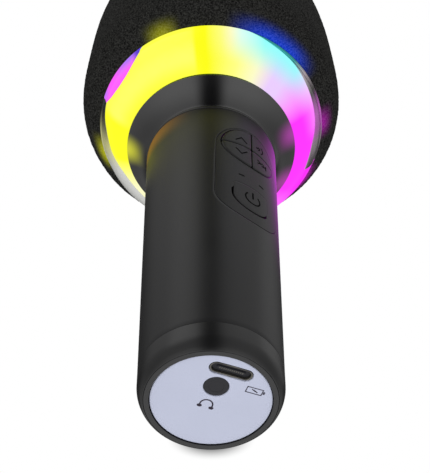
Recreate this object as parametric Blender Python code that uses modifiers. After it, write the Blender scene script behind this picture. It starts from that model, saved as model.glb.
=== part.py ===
"""A cordless karaoke microphone, standing upright on its flat base.

The axis is +Z and the origin is the middle of the base. Lengths below are millimetres and
MM turns them into Blender's metres. Directions round the axis are azimuths: 0 faces -Y and
they grow towards +X.
"""
import math

import bmesh
import bpy
from mathutils import Matrix, Vector

MM = 0.001

# Outer form: heights up the axis and radii there
CAP_TOP_Z = 7.3
CAP_TOP_R = 16.5
RIM_R = 14.8
RIM_ROUND = 1.6
PLATE_R = 13.4
HANDLE_TOP_Z = 99.3
HANDLE_TOP_R = 19.05
COLLAR_TOP_Z = 107.7
COLLAR_TOP_R = 25.4
LIGHT_TOP_Z = 118.8
LIGHT_TOP_R = 34.2
LIGHT_BULGE = 1.9
TRIM_TOP_Z = 120.6
TRIM_R = 35.2
HEAD_LOW_Z = 120.9
HEAD_WIDE_Z = 147.0
HEAD_WIDE_R = 41.7
HEAD_TOP_Z = 226.0
HEAD_LOW_POWER = 4.8
HEAD_TOP_POWER = 3.0

ACCENT_AZIMUTH = -54.0
ACCENT_SPREAD = 17.0

# Walls and clearances
GAP = 0.3
HANDLE_WALL = 1.8
COLLAR_WALL = 1.6
FOAM_WALL = 3.2
CAGE_WALL = 1.2

# Button panel
PANEL_AZIMUTH = 36.5
PANEL_HALF_WIDTH = 9.8
PANEL_LOW_Z = 48.5
PANEL_TOP_Z = 91.3
PANEL_DEPTH = 3.0
PANEL_LIP = 1.2
# Stock that is left past a part's outline before it is cut, and the depth of the cuts.
MARGIN = 4.0
CUT_DEPTH = 20.0
CLUSTER_Z = 82.0
CLUSTER_R = 8.55
KEY_PROUD = 0.25
KEY_DEPTH = 1.4
POWER_Z = 58.5
POWER_R = 5.4
POWER_TOP_Z = 63.5
LIGHT_PIPE_Z = 67.4
LIGHT_PIPE_OFFSET = 3.25

# Sockets in the base plate
USB_CENTRE = (4.3, -8.7)
USB_TURN = 20.6
USB_LENGTH = 10.0
USB_WIDTH = 3.4
JACK_CENTRE = (1.1, -4.3)
JACK_HOLE_R = 2.85

# Inside the handle, as distances from the axis towards the panel
BATTERY_R = 9.2
BATTERY_OFFSET = -5.2
BATTERY_LOW_Z = 20.0
BATTERY_LENGTH = 65.0
CHASSIS_FACE = 5.5
BOARD_BACK = 5.8
BOARD_THICK = 1.2
BOARD_WIDTH = 22.0
BOARD_LOW_Z = 14.0
BOARD_TOP_Z = 94.0

LAMP_COUNT = 6

ROUND_STEPS = 40
FINE_STEPS = 80
SMALL_STEPS = 16

for old in list(bpy.data.objects):
    bpy.data.objects.remove(old)

parts = bpy.data.collections.new("karaoke_microphone")
tools = bpy.data.collections.new("cutters")
for group in (parts, tools):
    bpy.context.scene.collection.children.link(group)


# ---------------------------------------------------------------- materials and helpers

def material(name, colour, roughness, metallic=0.0, alpha=1.0):
    mat = bpy.data.materials.new(name)
    mat.use_nodes = True
    shader = mat.node_tree.nodes["Principled BSDF"]
    shader.inputs["Base Color"].default_value = (*colour, 1.0)
    shader.inputs["Roughness"].default_value = roughness
    shader.inputs["Metallic"].default_value = metallic
    shader.inputs["Alpha"].default_value = alpha
    return mat


SATIN_BLACK = material("satin_black", (0.022, 0.022, 0.024), 0.38)
KEY_BLACK = material("key_black", (0.018, 0.018, 0.02), 0.45)
LAVENDER = material("lavender", (0.52, 0.55, 0.70), 0.5)
STEEL = material("steel", (0.55, 0.55, 0.56), 0.3, 1.0)
CHROME = material("chrome", (0.75, 0.75, 0.77), 0.12, 1.0)
DARK_PLASTIC = material("dark_plastic", (0.03, 0.03, 0.033), 0.6)
BOARD_GREEN = material("board_green", (0.02, 0.14, 0.06), 0.5)
MILKY = material("milky_diffuser", (0.93, 0.92, 0.55), 0.35)
ACCENT = material("accent_window", (0.85, 0.25, 0.9), 0.35)
FOAM = material("head_foam", (0.012, 0.012, 0.012), 0.95)
SLEEVE = material("battery_sleeve", (0.05, 0.2, 0.45), 0.4)
NICKEL = material("nickel", (0.6, 0.58, 0.52), 0.3, 1.0)
FERRITE = material("ferrite", (0.06, 0.06, 0.065), 0.7)
PAPER = material("cone_paper", (0.04, 0.04, 0.045), 0.85)
RUBBER = material("rubber", (0.025, 0.025, 0.025), 0.8)
LED_WHITE = material("led_package", (0.85, 0.83, 0.75), 0.4)
CLEAR = material("light_pipe", (0.35, 0.36, 0.38), 0.2)


def adopt(obj, group, mat=None):
    """Moves an object into one collection and gives it its material."""
    for home in list(obj.users_collection):
        home.objects.unlink(obj)
    group.objects.link(obj)
    if mat:
        obj.data.materials.clear()
        obj.data.materials.append(mat)
    if group is tools:
        obj.hide_render = True
        obj.display_type = "WIRE"
    return obj


def turned(name, profile, mat=None, steps=ROUND_STEPS, centre=(0.0, 0.0), closed=True, group=parts):
    """A profile of (radius, height) points turned round a vertical axis at centre."""
    points = [(r * MM, 0.0, z * MM) for r, z in profile]
    edges = [(i, i + 1) for i in range(len(points) - 1)]
    if closed:
        edges.append((len(points) - 1, 0))
    mesh = bpy.data.meshes.new(name)
    mesh.from_pydata(points, edges, [])
    obj = bpy.data.objects.new(name, mesh)
    group.objects.link(obj)
    obj.location = (centre[0] * MM, centre[1] * MM, 0.0)
    screw = obj.modifiers.new("turn", "SCREW")
    screw.axis = "Z"
    screw.angle = math.tau
    screw.steps = steps
    screw.render_steps = steps
    screw.use_merge_vertices = True
    screw.merge_threshold = 0.00001
    screw.use_smooth_shade = True
    return adopt(obj, group, mat)


def cylinder(name, radius, low, high, mat, centre=(0.0, 0.0), steps=SMALL_STEPS, group=parts):
    """An upright cylinder between two heights."""
    profile = [(0, high), (radius, high), (radius, low), (0, low)]
    return turned(name, profile, mat, steps, centre, closed=False, group=group)


def box(name, size, centre, mat, turn=0.0, group=parts):
    """A block turned about +Z by an azimuth, with its scale applied."""
    bpy.ops.mesh.primitive_cube_add(size=1.0)
    obj = bpy.context.object
    obj.name = name
    obj.data.name = name
    obj.data.transform(Matrix.Diagonal((*[s * MM for s in size], 1.0)))
    obj.rotation_euler.z = math.radians(turn)
    obj.location = [c * MM for c in centre]
    return adopt(obj, group, mat)


def arc(centre, radius, start, end, count):
    """Points along an arc, angles in degrees anticlockwise from +X."""
    angles = [math.radians(start + (end - start) * i / (count - 1)) for i in range(count)]
    return [(centre[0] + radius * math.cos(a), centre[1] + radius * math.sin(a)) for a in angles]


def circle(centre, radius, count=SMALL_STEPS * 2):
    return arc(centre, radius, 0, 360 - 360 / count, count)


def stadium(centre, length, width, count=9):
    """A slot with round ends, its length along X."""
    half = (length - width) / 2
    right = arc((centre[0] + half, centre[1]), width / 2, -90, 90, count)
    left = arc((centre[0] - half, centre[1]), width / 2, 90, 270, count)
    return right + left


def prism(name, outlines, thickness, place, mat=None, group=parts):
    """Flat outlines extruded to a thickness about their plane, welded into one mesh."""
    curve = bpy.data.curves.new(name, "CURVE")
    curve.dimensions = "2D"
    curve.fill_mode = "BOTH"
    curve.extrude = thickness / 2 * MM
    for outline in outlines:
        spline = curve.splines.new("POLY")
        spline.points.add(len(outline) - 1)
        for point, (x, y) in zip(spline.points, outline):
            point.co = (x * MM, y * MM, 0.0, 1.0)
        spline.use_cyclic_u = True
    guide = bpy.data.objects.new(name + "_outline", curve)
    bpy.context.scene.collection.objects.link(guide)
    return meshed(guide, name, mat, group, place)


def meshed(guide, name, mat, group, place):
    """Makes a curve object a mesh with its caps welded on, and removes the curve."""
    guide.matrix_world = place
    seen = guide.evaluated_get(bpy.context.evaluated_depsgraph_get())
    mesh = bpy.data.meshes.new_from_object(seen)
    mesh.name = name
    form = bmesh.new()
    form.from_mesh(mesh)
    bmesh.ops.remove_doubles(form, verts=form.verts, dist=0.000002)
    bmesh.ops.recalc_face_normals(form, faces=form.faces)
    form.to_mesh(mesh)
    form.free()
    obj = bpy.data.objects.new(name, mesh)
    group.objects.link(obj)
    obj.matrix_world = place
    bpy.data.objects.remove(guide)
    return adopt(obj, group, mat)


def boolean(obj, other, operation):
    mod = obj.modifiers.new(operation.lower(), "BOOLEAN")
    mod.operation = operation
    mod.object = other
    return obj


def toward(azimuth, distance, height=0.0):
    """The point at a distance from the axis in an azimuth, in millimetres."""
    a = math.radians(azimuth)
    return (distance * math.sin(a), -distance * math.cos(a), height)


def facing(azimuth, distance, height=0.0):
    """A plane that faces outwards: X runs along the skin, Y is up and Z points away."""
    a = math.radians(azimuth)
    across = Vector((math.cos(a), math.sin(a), 0.0))
    out = Vector((math.sin(a), -math.cos(a), 0.0))
    place = Matrix((across, Vector((0.0, 0.0, 1.0)), out)).transposed().to_4x4()
    place.translation = Vector(toward(azimuth, distance, height)) * MM
    return place


def flat_at(x, y, z, turn=0.0):
    """A level plane at a point, turned about +Z."""
    return Matrix.Translation(Vector((x, y, z)) * MM) @ Matrix.Rotation(math.radians(turn), 4, "Z")


# ---------------------------------------------------------------- outer form as formulas

def handle_radius(z):
    """The handle widens evenly from the bottom cap to the seam."""
    share = (z - CAP_TOP_Z) / (HANDLE_TOP_Z - CAP_TOP_Z)
    return CAP_TOP_R + (HANDLE_TOP_R - CAP_TOP_R) * share


def head_radius(z):
    """The head swells from the light ring, then closes over in a tall egg."""
    if z <= HEAD_WIDE_Z:
        share = (z - HEAD_LOW_Z) / (HEAD_WIDE_Z - HEAD_LOW_Z)
        return HEAD_WIDE_R - (HEAD_WIDE_R - TRIM_R) * (1 - share) ** HEAD_LOW_POWER
    share = min(1.0, (z - HEAD_WIDE_Z) / (HEAD_TOP_Z - HEAD_WIDE_Z))
    return HEAD_WIDE_R * math.sqrt(1 - share ** HEAD_TOP_POWER)


def head_profile(inset, low_z, rows_low=5, rows_top=9):
    """The head's outline moved inwards, from the pole down to its lower edge."""
    height = HEAD_TOP_Z - HEAD_WIDE_Z
    points = [(0.0, HEAD_TOP_Z - inset)]
    for i in range(1, rows_top + 1):
        angle = math.pi / 2 * (1 - i / rows_top)
        z = HEAD_WIDE_Z + height * math.sin(angle) ** (2 / HEAD_TOP_POWER)
        squeeze = (HEAD_TOP_Z - inset - HEAD_WIDE_Z) / height
        points.append((HEAD_WIDE_R * math.cos(angle) * (1 - inset / HEAD_WIDE_R),
                       HEAD_WIDE_Z + (z - HEAD_WIDE_Z) * squeeze))
    for i in range(1, rows_low + 1):
        z = HEAD_WIDE_Z + (low_z - HEAD_WIDE_Z) * (i / rows_low) ** 0.55
        points.append((head_radius(max(z, HEAD_LOW_Z)) - inset, z))
    return points


def bowed(low, high, bulge, count=6):
    """Points from high to low along a line that bows outwards by bulge."""
    (r0, z0), (r1, z1) = high, low
    run, drop = r1 - r0, z1 - z0
    length = math.hypot(run, drop)
    out = (-drop / length, run / length)
    points = []
    for i in range(count + 1):
        t = i / count
        lift = bulge * 4 * t * (1 - t)
        points.append((r0 + run * t + out[0] * lift, z0 + drop * t + out[1] * lift))
    return points


# ---------------------------------------------------------------- base

def make_base():
    """The bottom cap, the port plate and the sockets behind it."""
    rim = [(RIM_R + RIM_ROUND * math.cos(a), RIM_ROUND - RIM_ROUND * math.sin(a))
           for a in [math.pi / 2 * i / 5 for i in range(6)]]
    flat_in = PLATE_R + GAP
    cap = turned("base_cap", [(CAP_TOP_R, CAP_TOP_Z)] + rim
                 + [(flat_in, 0), (flat_in, 1.8), (9.0, 1.8), (9.0, 3.0), (14.5, 3.0),
                    (14.5, CAP_TOP_Z)], SATIN_BLACK)
    clearance = prism("usb_clearance_cutter", [stadium((0, 0), USB_LENGTH, USB_WIDTH + 0.6)], 8,
                      flat_at(*USB_CENTRE, 5, USB_TURN), group=tools)
    boolean(cap, clearance, "DIFFERENCE")
    plate = cylinder("base_plate", PLATE_R, 0.3, 1.5, LAVENDER, steps=ROUND_STEPS)
    slot = prism("usb_slot_cutter", [stadium((0, 0), USB_LENGTH, USB_WIDTH)], 6,
                 flat_at(*USB_CENTRE, 1, USB_TURN), group=tools)
    hole = cylinder("jack_hole_cutter", JACK_HOLE_R, -2, 4, None, JACK_CENTRE, 32, tools)
    boolean(boolean(plate, slot, "DIFFERENCE"), hole, "DIFFERENCE")

    shell = [stadium((0, 0), 8.94, 3.26), stadium((0, 0), 8.3, 2.62)]
    prism("usb_shell", shell, 7.8, flat_at(*USB_CENTRE, 4.8, USB_TURN), STEEL)
    box("usb_tongue", (6.7, 0.7, 6.0), (*USB_CENTRE, 5.4), DARK_PLASTIC, USB_TURN)
    turned("aux_jack", [(0, 8.7), (2.5, 8.7), (2.5, 0.9), (1.8, 0.9), (1.8, 7.9), (0, 7.9)],
           DARK_PLASTIC, 24, JACK_CENTRE, closed=False)

    board = cylinder("port_board", 12.8, 9.0, 10.2, BOARD_GREEN, steps=32)
    for number, azimuth in enumerate((110.0, 290.0), 1):
        x, y, _ = toward(azimuth, 10.4)
        cut = cylinder(f"port_board_hole_{number}", 1.35, 8, 11, None, (x, y), group=tools)
        boolean(board, cut, "DIFFERENCE")
        boss = turned(f"cap_boss_{number}", [(2.4, 8.7), (2.4, 2.4), (1.35, 2.4), (1.35, 8.7)],
                      None, SMALL_STEPS, (x, y), group=tools)
        boolean(cap, boss, "UNION")
        screw(f"port_screw_{number}", (x, y), 10.5, 5.0, 2.0, 1.0)


def screw(name, centre, seat, tip, head_r, shank_r):
    """A pan-head screw that points down, with its head on top of seat."""
    profile = [(0, seat + 1.1), (head_r * 0.7, seat + 1.1), (head_r, seat + 0.5), (head_r, seat),
               (shank_r, seat), (shank_r, tip + 0.6), (0, tip)]
    turned(name, profile, STEEL, SMALL_STEPS, centre, closed=False)


# ---------------------------------------------------------------- handle

def panel_outline(grow=0.0):
    """The panel seen face on: straight sides between two half rounds as wide as the panel."""
    half = PANEL_HALF_WIDTH + grow
    top = arc((0, PANEL_TOP_Z - PANEL_HALF_WIDTH), half, 0, 180, 25)
    foot = arc((0, PANEL_LOW_Z + PANEL_HALF_WIDTH), half, 180, 360, 25)
    return top + foot


def flap_outline(grow=0.0):
    """The power key: a round lower edge under straight sides that end at its hinge."""
    radius = POWER_R + grow
    return [(radius, POWER_TOP_Z + grow), (-radius, POWER_TOP_Z + grow)] \
        + arc((0, POWER_Z), radius, 180, 360, 19)


def skin(name, inner, outer, low, high, mat, group=parts):
    """A closed sleeve that follows the handle, between two offsets from its surface."""
    profile = [(handle_radius(high) + outer, high), (handle_radius(low) + outer, low),
               (handle_radius(low) + inner, low), (handle_radius(high) + inner, high)]
    return turned(name, profile, mat, FINE_STEPS, group=group)


def make_handle():
    """The one-piece handle tube, with a window for the button panel."""
    low, high = CAP_TOP_Z + GAP, HANDLE_TOP_Z
    tube = skin("handle_tube", -HANDLE_WALL, 0.0, low, high, SATIN_BLACK)
    window = prism("panel_window_cutter", [panel_outline(GAP)], CUT_DEPTH,
                   facing(PANEL_AZIMUTH, CUT_DEPTH), group=tools)
    boolean(tube, window, "DIFFERENCE")


def make_panel():
    """The inlay that fills the window, held by a lip behind the handle's wall."""
    low, high = PANEL_LOW_Z - MARGIN, PANEL_TOP_Z + MARGIN
    panel = skin("button_panel", -PANEL_DEPTH, 0.0, low, high, SATIN_BLACK)
    face = prism("panel_face_cutter", [panel_outline()], CUT_DEPTH, facing(PANEL_AZIMUTH, CUT_DEPTH),
                 group=tools)
    boolean(panel, face, "INTERSECT")
    lip = skin("panel_lip", -PANEL_DEPTH - GAP, -HANDLE_WALL - GAP, low, high, None, tools)
    rim = prism("panel_lip_cutter", [panel_outline(PANEL_LIP)], CUT_DEPTH, facing(PANEL_AZIMUTH, CUT_DEPTH),
                group=tools)
    boolean(lip, rim, "INTERSECT")
    boolean(panel, lip, "UNION")
    openings = [circle((0, CLUSTER_Z), CLUSTER_R + GAP, 40), flap_outline(GAP)]
    for side in (-1, 1):
        openings.append(stadium((side * LIGHT_PIPE_OFFSET, LIGHT_PIPE_Z), 2.0, 0.9, 5))
    for number, outline in enumerate(openings, 1):
        cut = prism(f"panel_opening_{number}", [outline], CUT_DEPTH, facing(PANEL_AZIMUTH, CUT_DEPTH),
                    group=tools)
        boolean(panel, cut, "DIFFERENCE")


def quadrant(right, upper):
    """A quarter of the round key cluster, clear of its neighbours by a gap."""
    edge = GAP / 2
    start = math.degrees(math.asin(edge / CLUSTER_R))
    rim = arc((0, 0), CLUSTER_R, start, 90 - start, 13)
    points = [(edge, edge)] + rim
    points = [(x * right, CLUSTER_Z + y * upper) for x, y in points]
    return points if right * upper > 0 else points[::-1]


def key(name, outline, post_at, switch_top):
    """A key cut from the handle's skin, with the post that presses its switch."""
    body = skin(name, -KEY_DEPTH, KEY_PROUD, PANEL_LOW_Z - MARGIN, PANEL_TOP_Z + MARGIN, KEY_BLACK)
    face = prism(name + "_cutter", [outline], CUT_DEPTH, facing(PANEL_AZIMUTH, CUT_DEPTH), group=tools)
    boolean(body, face, "INTERSECT")
    reach = handle_radius(post_at[1]) - 0.8 - switch_top
    middle = switch_top + reach / 2
    post = prism(name + "_post", [circle(post_at, 1.3, 12)], reach,
                 facing(PANEL_AZIMUTH, middle), group=tools)
    boolean(body, post, "UNION")
    return body


def make_keys():
    """Four quarter keys, the power key, their switches and two light pipes."""
    board_face = BOARD_BACK + BOARD_THICK
    plunger_top = board_face + 2.5
    post_start = plunger_top + 0.8
    quarter = CLUSTER_R * 0.45
    keys = {
        "volume_up_key": (-1, 1),
        "volume_down_key": (-1, -1),
        "echo_key": (1, 1),
        "track_key": (1, -1),
    }
    spots = {}
    for name, (right, upper) in keys.items():
        spots[name] = (right * quarter, CLUSTER_Z + upper * quarter)
        key(name, quadrant(right, upper), spots[name], post_start)
    spots["power_key"] = (0.0, POWER_Z - 1.0)
    key("power_key", flap_outline(), spots["power_key"], post_start)

    for name, spot in spots.items():
        switch = prism(name.replace("_key", "_switch"),
                       [[(spot[0] - 2.2, spot[1] - 2.2), (spot[0] + 2.2, spot[1] - 2.2),
                         (spot[0] + 2.2, spot[1] + 2.2), (spot[0] - 2.2, spot[1] + 2.2)]],
                       1.5, facing(PANEL_AZIMUTH, board_face + GAP + 0.75), NICKEL)
        plunger = prism(name + "_plunger", [circle(spot, 1.1, 12)], 1.6,
                        facing(PANEL_AZIMUTH, plunger_top - 0.8), group=tools)
        boolean(switch, plunger, "UNION")

    for side, word in ((-1, "left"), (1, "right")):
        middle = handle_radius(LIGHT_PIPE_Z) - 2.0
        prism(f"status_light_{word}",
              [stadium((side * LIGHT_PIPE_OFFSET, LIGHT_PIPE_Z), 1.4, 0.3, 5)], 3.6,
              facing(PANEL_AZIMUTH, middle), CLEAR)


def make_electronics():
    """The main board on its chassis, the cell behind it and its end tabs."""
    middle = (BOARD_LOW_Z + BOARD_TOP_Z) / 2
    height = BOARD_TOP_Z - BOARD_LOW_Z
    chassis = box("chassis", (BOARD_WIDTH, 1.2, height),
                  toward(PANEL_AZIMUTH, CHASSIS_FACE - 0.6, middle), DARK_PLASTIC, PANEL_AZIMUTH)
    board = box("main_board", (BOARD_WIDTH, BOARD_THICK, height),
                toward(PANEL_AZIMUTH, BOARD_BACK + BOARD_THICK / 2, middle), BOARD_GREEN,
                PANEL_AZIMUTH)
    for number, z in enumerate((BOARD_LOW_Z + 6, BOARD_TOP_Z - 26), 1):
        spot = (-7.5, z)
        hole = prism(f"board_hole_{number}", [circle(spot, 1.3, 12)], 8,
                     facing(PANEL_AZIMUTH, BOARD_BACK), group=tools)
        boolean(chassis, hole, "DIFFERENCE")
        boolean(board, hole, "DIFFERENCE")
        face = BOARD_BACK + BOARD_THICK + GAP
        bolt = prism(f"board_screw_{number}", [circle(spot, 1.9, SMALL_STEPS)], 1.0,
                     facing(PANEL_AZIMUTH, face + 0.5), STEEL)
        shank = prism(f"board_shank_{number}", [circle(spot, 0.9, 12)], 3.2,
                      facing(PANEL_AZIMUTH, face - 1.2), group=tools)
        boolean(bolt, shank, "UNION")

    x, y, _ = toward(PANEL_AZIMUTH, BATTERY_OFFSET)
    top = BATTERY_LOW_Z + BATTERY_LENGTH
    turned("battery_cell", [(0, top + 0.8), (3, top + 0.8), (3, top), (BATTERY_R, top),
                            (BATTERY_R, BATTERY_LOW_Z), (0, BATTERY_LOW_Z)],
           SLEEVE, 32, (x, y), closed=False)
    cylinder("battery_tab_low", 4.0, BATTERY_LOW_Z - 0.7, BATTERY_LOW_Z - 0.3, NICKEL, (x, y))
    cylinder("battery_tab_high", 2.6, top + 1.1, top + 1.5, NICKEL, (x, y))


# ---------------------------------------------------------------- collar and light ring

def make_collar():
    """The seam ring, the flared collar, the diffuser, its trim and the lit windows."""
    low = HANDLE_TOP_Z + GAP
    turned("seam_ring", [(HANDLE_TOP_R + 0.1, low + 0.9), (HANDLE_TOP_R + 0.1, low),
                         (HANDLE_TOP_R - 1.6, low), (HANDLE_TOP_R - 1.6, low + 0.9)], STEEL)
    foot = low + 0.9 + GAP
    outer = bowed((HANDLE_TOP_R + 0.1, foot), (COLLAR_TOP_R, COLLAR_TOP_Z), -0.5, 4)
    inner = [(HANDLE_TOP_R - 1.6, foot), (HANDLE_TOP_R - 1.6, foot + 1.5),
             (COLLAR_TOP_R - 2.4, COLLAR_TOP_Z)]
    turned("collar", outer + inner, SATIN_BLACK)

    ring_low = COLLAR_TOP_Z + GAP
    outside = bowed((COLLAR_TOP_R + 0.1, ring_low), (LIGHT_TOP_R, LIGHT_TOP_Z), LIGHT_BULGE)
    inside = bowed((COLLAR_TOP_R - 2.1, ring_low), (LIGHT_TOP_R - 2.2, LIGHT_TOP_Z), LIGHT_BULGE)
    turned("light_ring", outside + inside[::-1], MILKY)

    trim_low = LIGHT_TOP_Z + GAP
    section = [(TRIM_R, TRIM_TOP_Z), (LIGHT_TOP_R + 0.2, trim_low),
               (LIGHT_TOP_R - 2.0, trim_low), (LIGHT_TOP_R - 2.0, TRIM_TOP_Z)]
    trim = turned("trim_ring", section, CHROME)
    seat_r = LIGHT_TOP_R - 1.0
    lens_r = seat_r + GAP
    lens_section = [(TRIM_R, TRIM_TOP_Z), (LIGHT_TOP_R + 0.2, trim_low), (lens_r, trim_low),
                    (lens_r, TRIM_TOP_Z)]
    for word, middle in (("left", ACCENT_AZIMUTH), ("right", ACCENT_AZIMUTH + 180)):
        name = f"accent_window_{word}"
        pocket = wedge(name + "_pocket", middle, ACCENT_SPREAD + 0.6, seat_r)
        boolean(trim, pocket, "DIFFERENCE")
        lens = turned(name, lens_section, ACCENT)
        boolean(lens, wedge(name + "_ends", middle, ACCENT_SPREAD, 15.0), "INTERSECT")


def wedge(name, azimuth, spread, tip):
    """The space outside a radius, spread degrees to each side of an azimuth."""
    start = azimuth - 90 - spread
    end = azimuth - 90 + spread
    outline = arc((0, 0), tip, end, start, 13) + arc((0, 0), 60.0, start, end, 13)
    return prism(name, [outline], 12, flat_at(0, 0, TRIM_TOP_Z), group=tools)


def make_lamps():
    """The round lamp board and its six lamps, behind the diffuser."""
    turned("led_board", [(24.6, 112.2), (24.6, 111.0), (16.0, 111.0), (16.0, 112.2)],
           BOARD_GREEN, 32)
    for i in range(LAMP_COUNT):
        azimuth = 30 + 360 * i / LAMP_COUNT
        box(f"led_{i + 1}", (3.0, 3.0, 1.4), toward(azimuth, 22.2, 113.2), LED_WHITE, azimuth)


# ---------------------------------------------------------------- head

def make_speaker():
    """The loudspeaker that fires up into the head."""
    turned("speaker_magnet", [(0, 128.2), (6, 128.2), (6, 118), (8.4, 118), (8.4, 128.2),
                              (14, 128.2), (14, 116), (0, 116)], FERRITE, 24, closed=False)
    turned("voice_coil", [(7.5, 130.2), (7.5, 121), (6.7, 121), (6.7, 130.2)], NICKEL, 24)
    turned("speaker_cone", [(24.3, 144.2), (24.3, 143.4), (8.0, 130.5), (6.9, 130.5),
                            (6.9, 131.4)], PAPER, 24)
    dome = [(7.0 * math.cos(a), 132.6 + 2.4 * math.sin(a))
            for a in [math.pi / 2 * (1 - i / 4) for i in range(5)]]
    turned("dust_cap", dome + [(6.2, 132.4), (0, 134.2)], PAPER, 24, closed=False)
    roll = [(26.4 + 1.8 * math.cos(a), 144.0 + 1.8 * math.sin(a))
            for a in [math.pi * (1 - i / 4) for i in range(5)]]
    turned("speaker_surround", roll + [(27.6, 144.0), (26.4, 145.2), (25.2, 144.0)],
           RUBBER, 24)
    basket = turned("speaker_basket", [(33.6, 143.6), (33.6, 142.4), (29.6, 142.4), (14.2, 128.5),
                                       (8.8, 128.5), (8.8, 129.5), (13.6, 129.5), (27.6, 143.6)],
                    STEEL, 24)
    baffle = turned("speaker_baffle", [(36.6, 142.1), (36.6, 140.3), (29.8, 140.3), (29.8, 142.1)],
                    DARK_PLASTIC, 24)
    for number in range(1, 5):
        x, y, _ = toward(45 + 90 * number, 31.6)
        hole = cylinder(f"speaker_hole_{number}", 1.15, 138, 146, None, (x, y), 12, tools)
        boolean(basket, hole, "DIFFERENCE")
        boolean(baffle, hole, "DIFFERENCE")
        screw(f"speaker_screw_{number}", (x, y), 143.9, 140.6, 1.5, 0.8)


def make_head():
    """The foam cover, the cage that carries it, its base and the microphone capsule."""
    outer = head_profile(0.0, HEAD_LOW_Z)
    inner = head_profile(FOAM_WALL, HEAD_LOW_Z)
    turned("head_foam", outer + inner[::-1], FOAM, closed=False)

    shell_out = head_profile(FOAM_WALL + GAP, HEAD_LOW_Z + 1.9)
    shell_in = head_profile(FOAM_WALL + GAP + CAGE_WALL, HEAD_LOW_Z + 1.9)
    cage = turned("head_cage", shell_out + shell_in[::-1], DARK_PLASTIC, 24, closed=False)
    for number in range(3):
        slot = box(f"cage_slot_{number + 1}", (120, 22, 46), (0, 0, 176), None, 60 * number,
                   tools)
        boolean(cage, slot, "DIFFERENCE")
    turned("head_base", [(31.4, 122.5), (31.4, 120.9), (24.5, 120.9), (24.5, 122.5)],
           DARK_PLASTIC, 32)

    bridge = box("capsule_bridge", (52, 8, 2.0), (0, 0, 204), DARK_PLASTIC)
    cup = turned("capsule_cup", [(9.6, 209.5), (9.6, 203.4), (8.2, 203.4), (8.2, 209.5)], None,
                 24, group=tools)
    boolean(bridge, cup, "UNION")
    turned("capsule_mount", [(7.9, 210.5), (7.9, 205.4), (5.2, 205.4), (5.2, 210.5)], RUBBER, 24)
    cylinder("microphone_capsule", 4.85, 205.9, 212.4, STEEL, steps=24)


make_base()
make_handle()
make_panel()
make_keys()
make_electronics()
make_collar()
make_lamps()
make_speaker()
make_head()

for piece in parts.objects:
    piece.data.shade_smooth()
    piece.data.set_sharp_from_angle(angle=math.radians(35))
print("pieces:", len(parts.objects))
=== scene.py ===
"""Karaoke microphone: the looks of its shells, light ring, keys, ports and foam head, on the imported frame.

Sizes are in millimetres. Azimuth 0 faces -Y and grows towards +X.
"""
import math

import bmesh
import bpy
import numpy as np
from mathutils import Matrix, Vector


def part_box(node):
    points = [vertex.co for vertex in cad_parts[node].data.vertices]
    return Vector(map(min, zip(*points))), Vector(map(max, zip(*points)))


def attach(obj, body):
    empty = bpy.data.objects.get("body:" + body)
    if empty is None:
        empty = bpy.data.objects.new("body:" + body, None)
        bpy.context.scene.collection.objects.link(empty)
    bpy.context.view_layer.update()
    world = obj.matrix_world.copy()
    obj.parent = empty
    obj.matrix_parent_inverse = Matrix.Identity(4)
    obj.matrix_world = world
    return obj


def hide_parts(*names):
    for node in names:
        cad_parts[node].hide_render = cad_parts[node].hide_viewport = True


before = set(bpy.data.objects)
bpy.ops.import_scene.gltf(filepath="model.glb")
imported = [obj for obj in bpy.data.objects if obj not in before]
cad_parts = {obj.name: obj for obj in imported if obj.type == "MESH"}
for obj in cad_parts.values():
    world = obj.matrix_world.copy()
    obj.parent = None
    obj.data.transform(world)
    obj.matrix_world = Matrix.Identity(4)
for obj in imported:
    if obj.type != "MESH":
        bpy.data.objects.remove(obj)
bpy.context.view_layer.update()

MM = 0.001


def low(node):
    """Lowest corner of a CAD node in millimetres."""
    return np.array(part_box(node)[0]) / MM


def high(node):
    """Highest corner of a CAD node in millimetres."""
    return np.array(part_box(node)[1]) / MM


# ---------------------------------------------------------------- sizes from the frame
HANDLE_LOW_Z = low("handle_tube")[2]
HANDLE_TOP_Z = high("handle_tube")[2]
HANDLE_LOW_R = 16.5
HANDLE_TOP_R = high("handle_tube")[0]
WALL = 1.8
CAP_R = HANDLE_LOW_R
RIM_R = 14.75
RIM_ROUND = 2.4
PLATE_R = high("base_plate")[0]
PLATE_FACE_Z = low("base_plate")[2]
PLATE_THICK = high("base_plate")[2] - PLATE_FACE_Z
SEAM_R = high("seam_ring")[0]
SEAM_LOW_Z = low("seam_ring")[2]
SEAM_TOP_Z = high("seam_ring")[2]
COLLAR_LOW_Z = low("collar")[2]
COLLAR_TOP_Z = high("collar")[2]
COLLAR_TOP_R = high("collar")[0]
COLLAR_HOLLOW = 0.5
FOAM_EDGE_LIFT = 0.7
RING_INSET = 0.55
LIGHT_LOW_Z = low("light_ring")[2]
LIGHT_LOW_R = COLLAR_TOP_R + 0.1
LIGHT_TOP_Z = high("trim_ring")[2] + FOAM_EDGE_LIFT
LIGHT_TOP_R = high("trim_ring")[0] - RING_INSET
LIGHT_BULGE = 1.9
LIGHT_WALL_Z = 0.9
OVERLAY_SINK = 0.4
HEAD_LOW_Z = low("head_foam")[2] + FOAM_EDGE_LIFT
HEAD_TOP_Z = high("head_foam")[2]
HEAD_WIDE_R = high("head_foam")[0]
HEAD_WIDE_RISE = 25.4
HEAD_WIDE_Z = HEAD_LOW_Z + HEAD_WIDE_RISE
HEAD_LOW_POWER = 4.8
HEAD_TOP_POWER = 3.0
FOAM_WALL = 3.2

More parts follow.
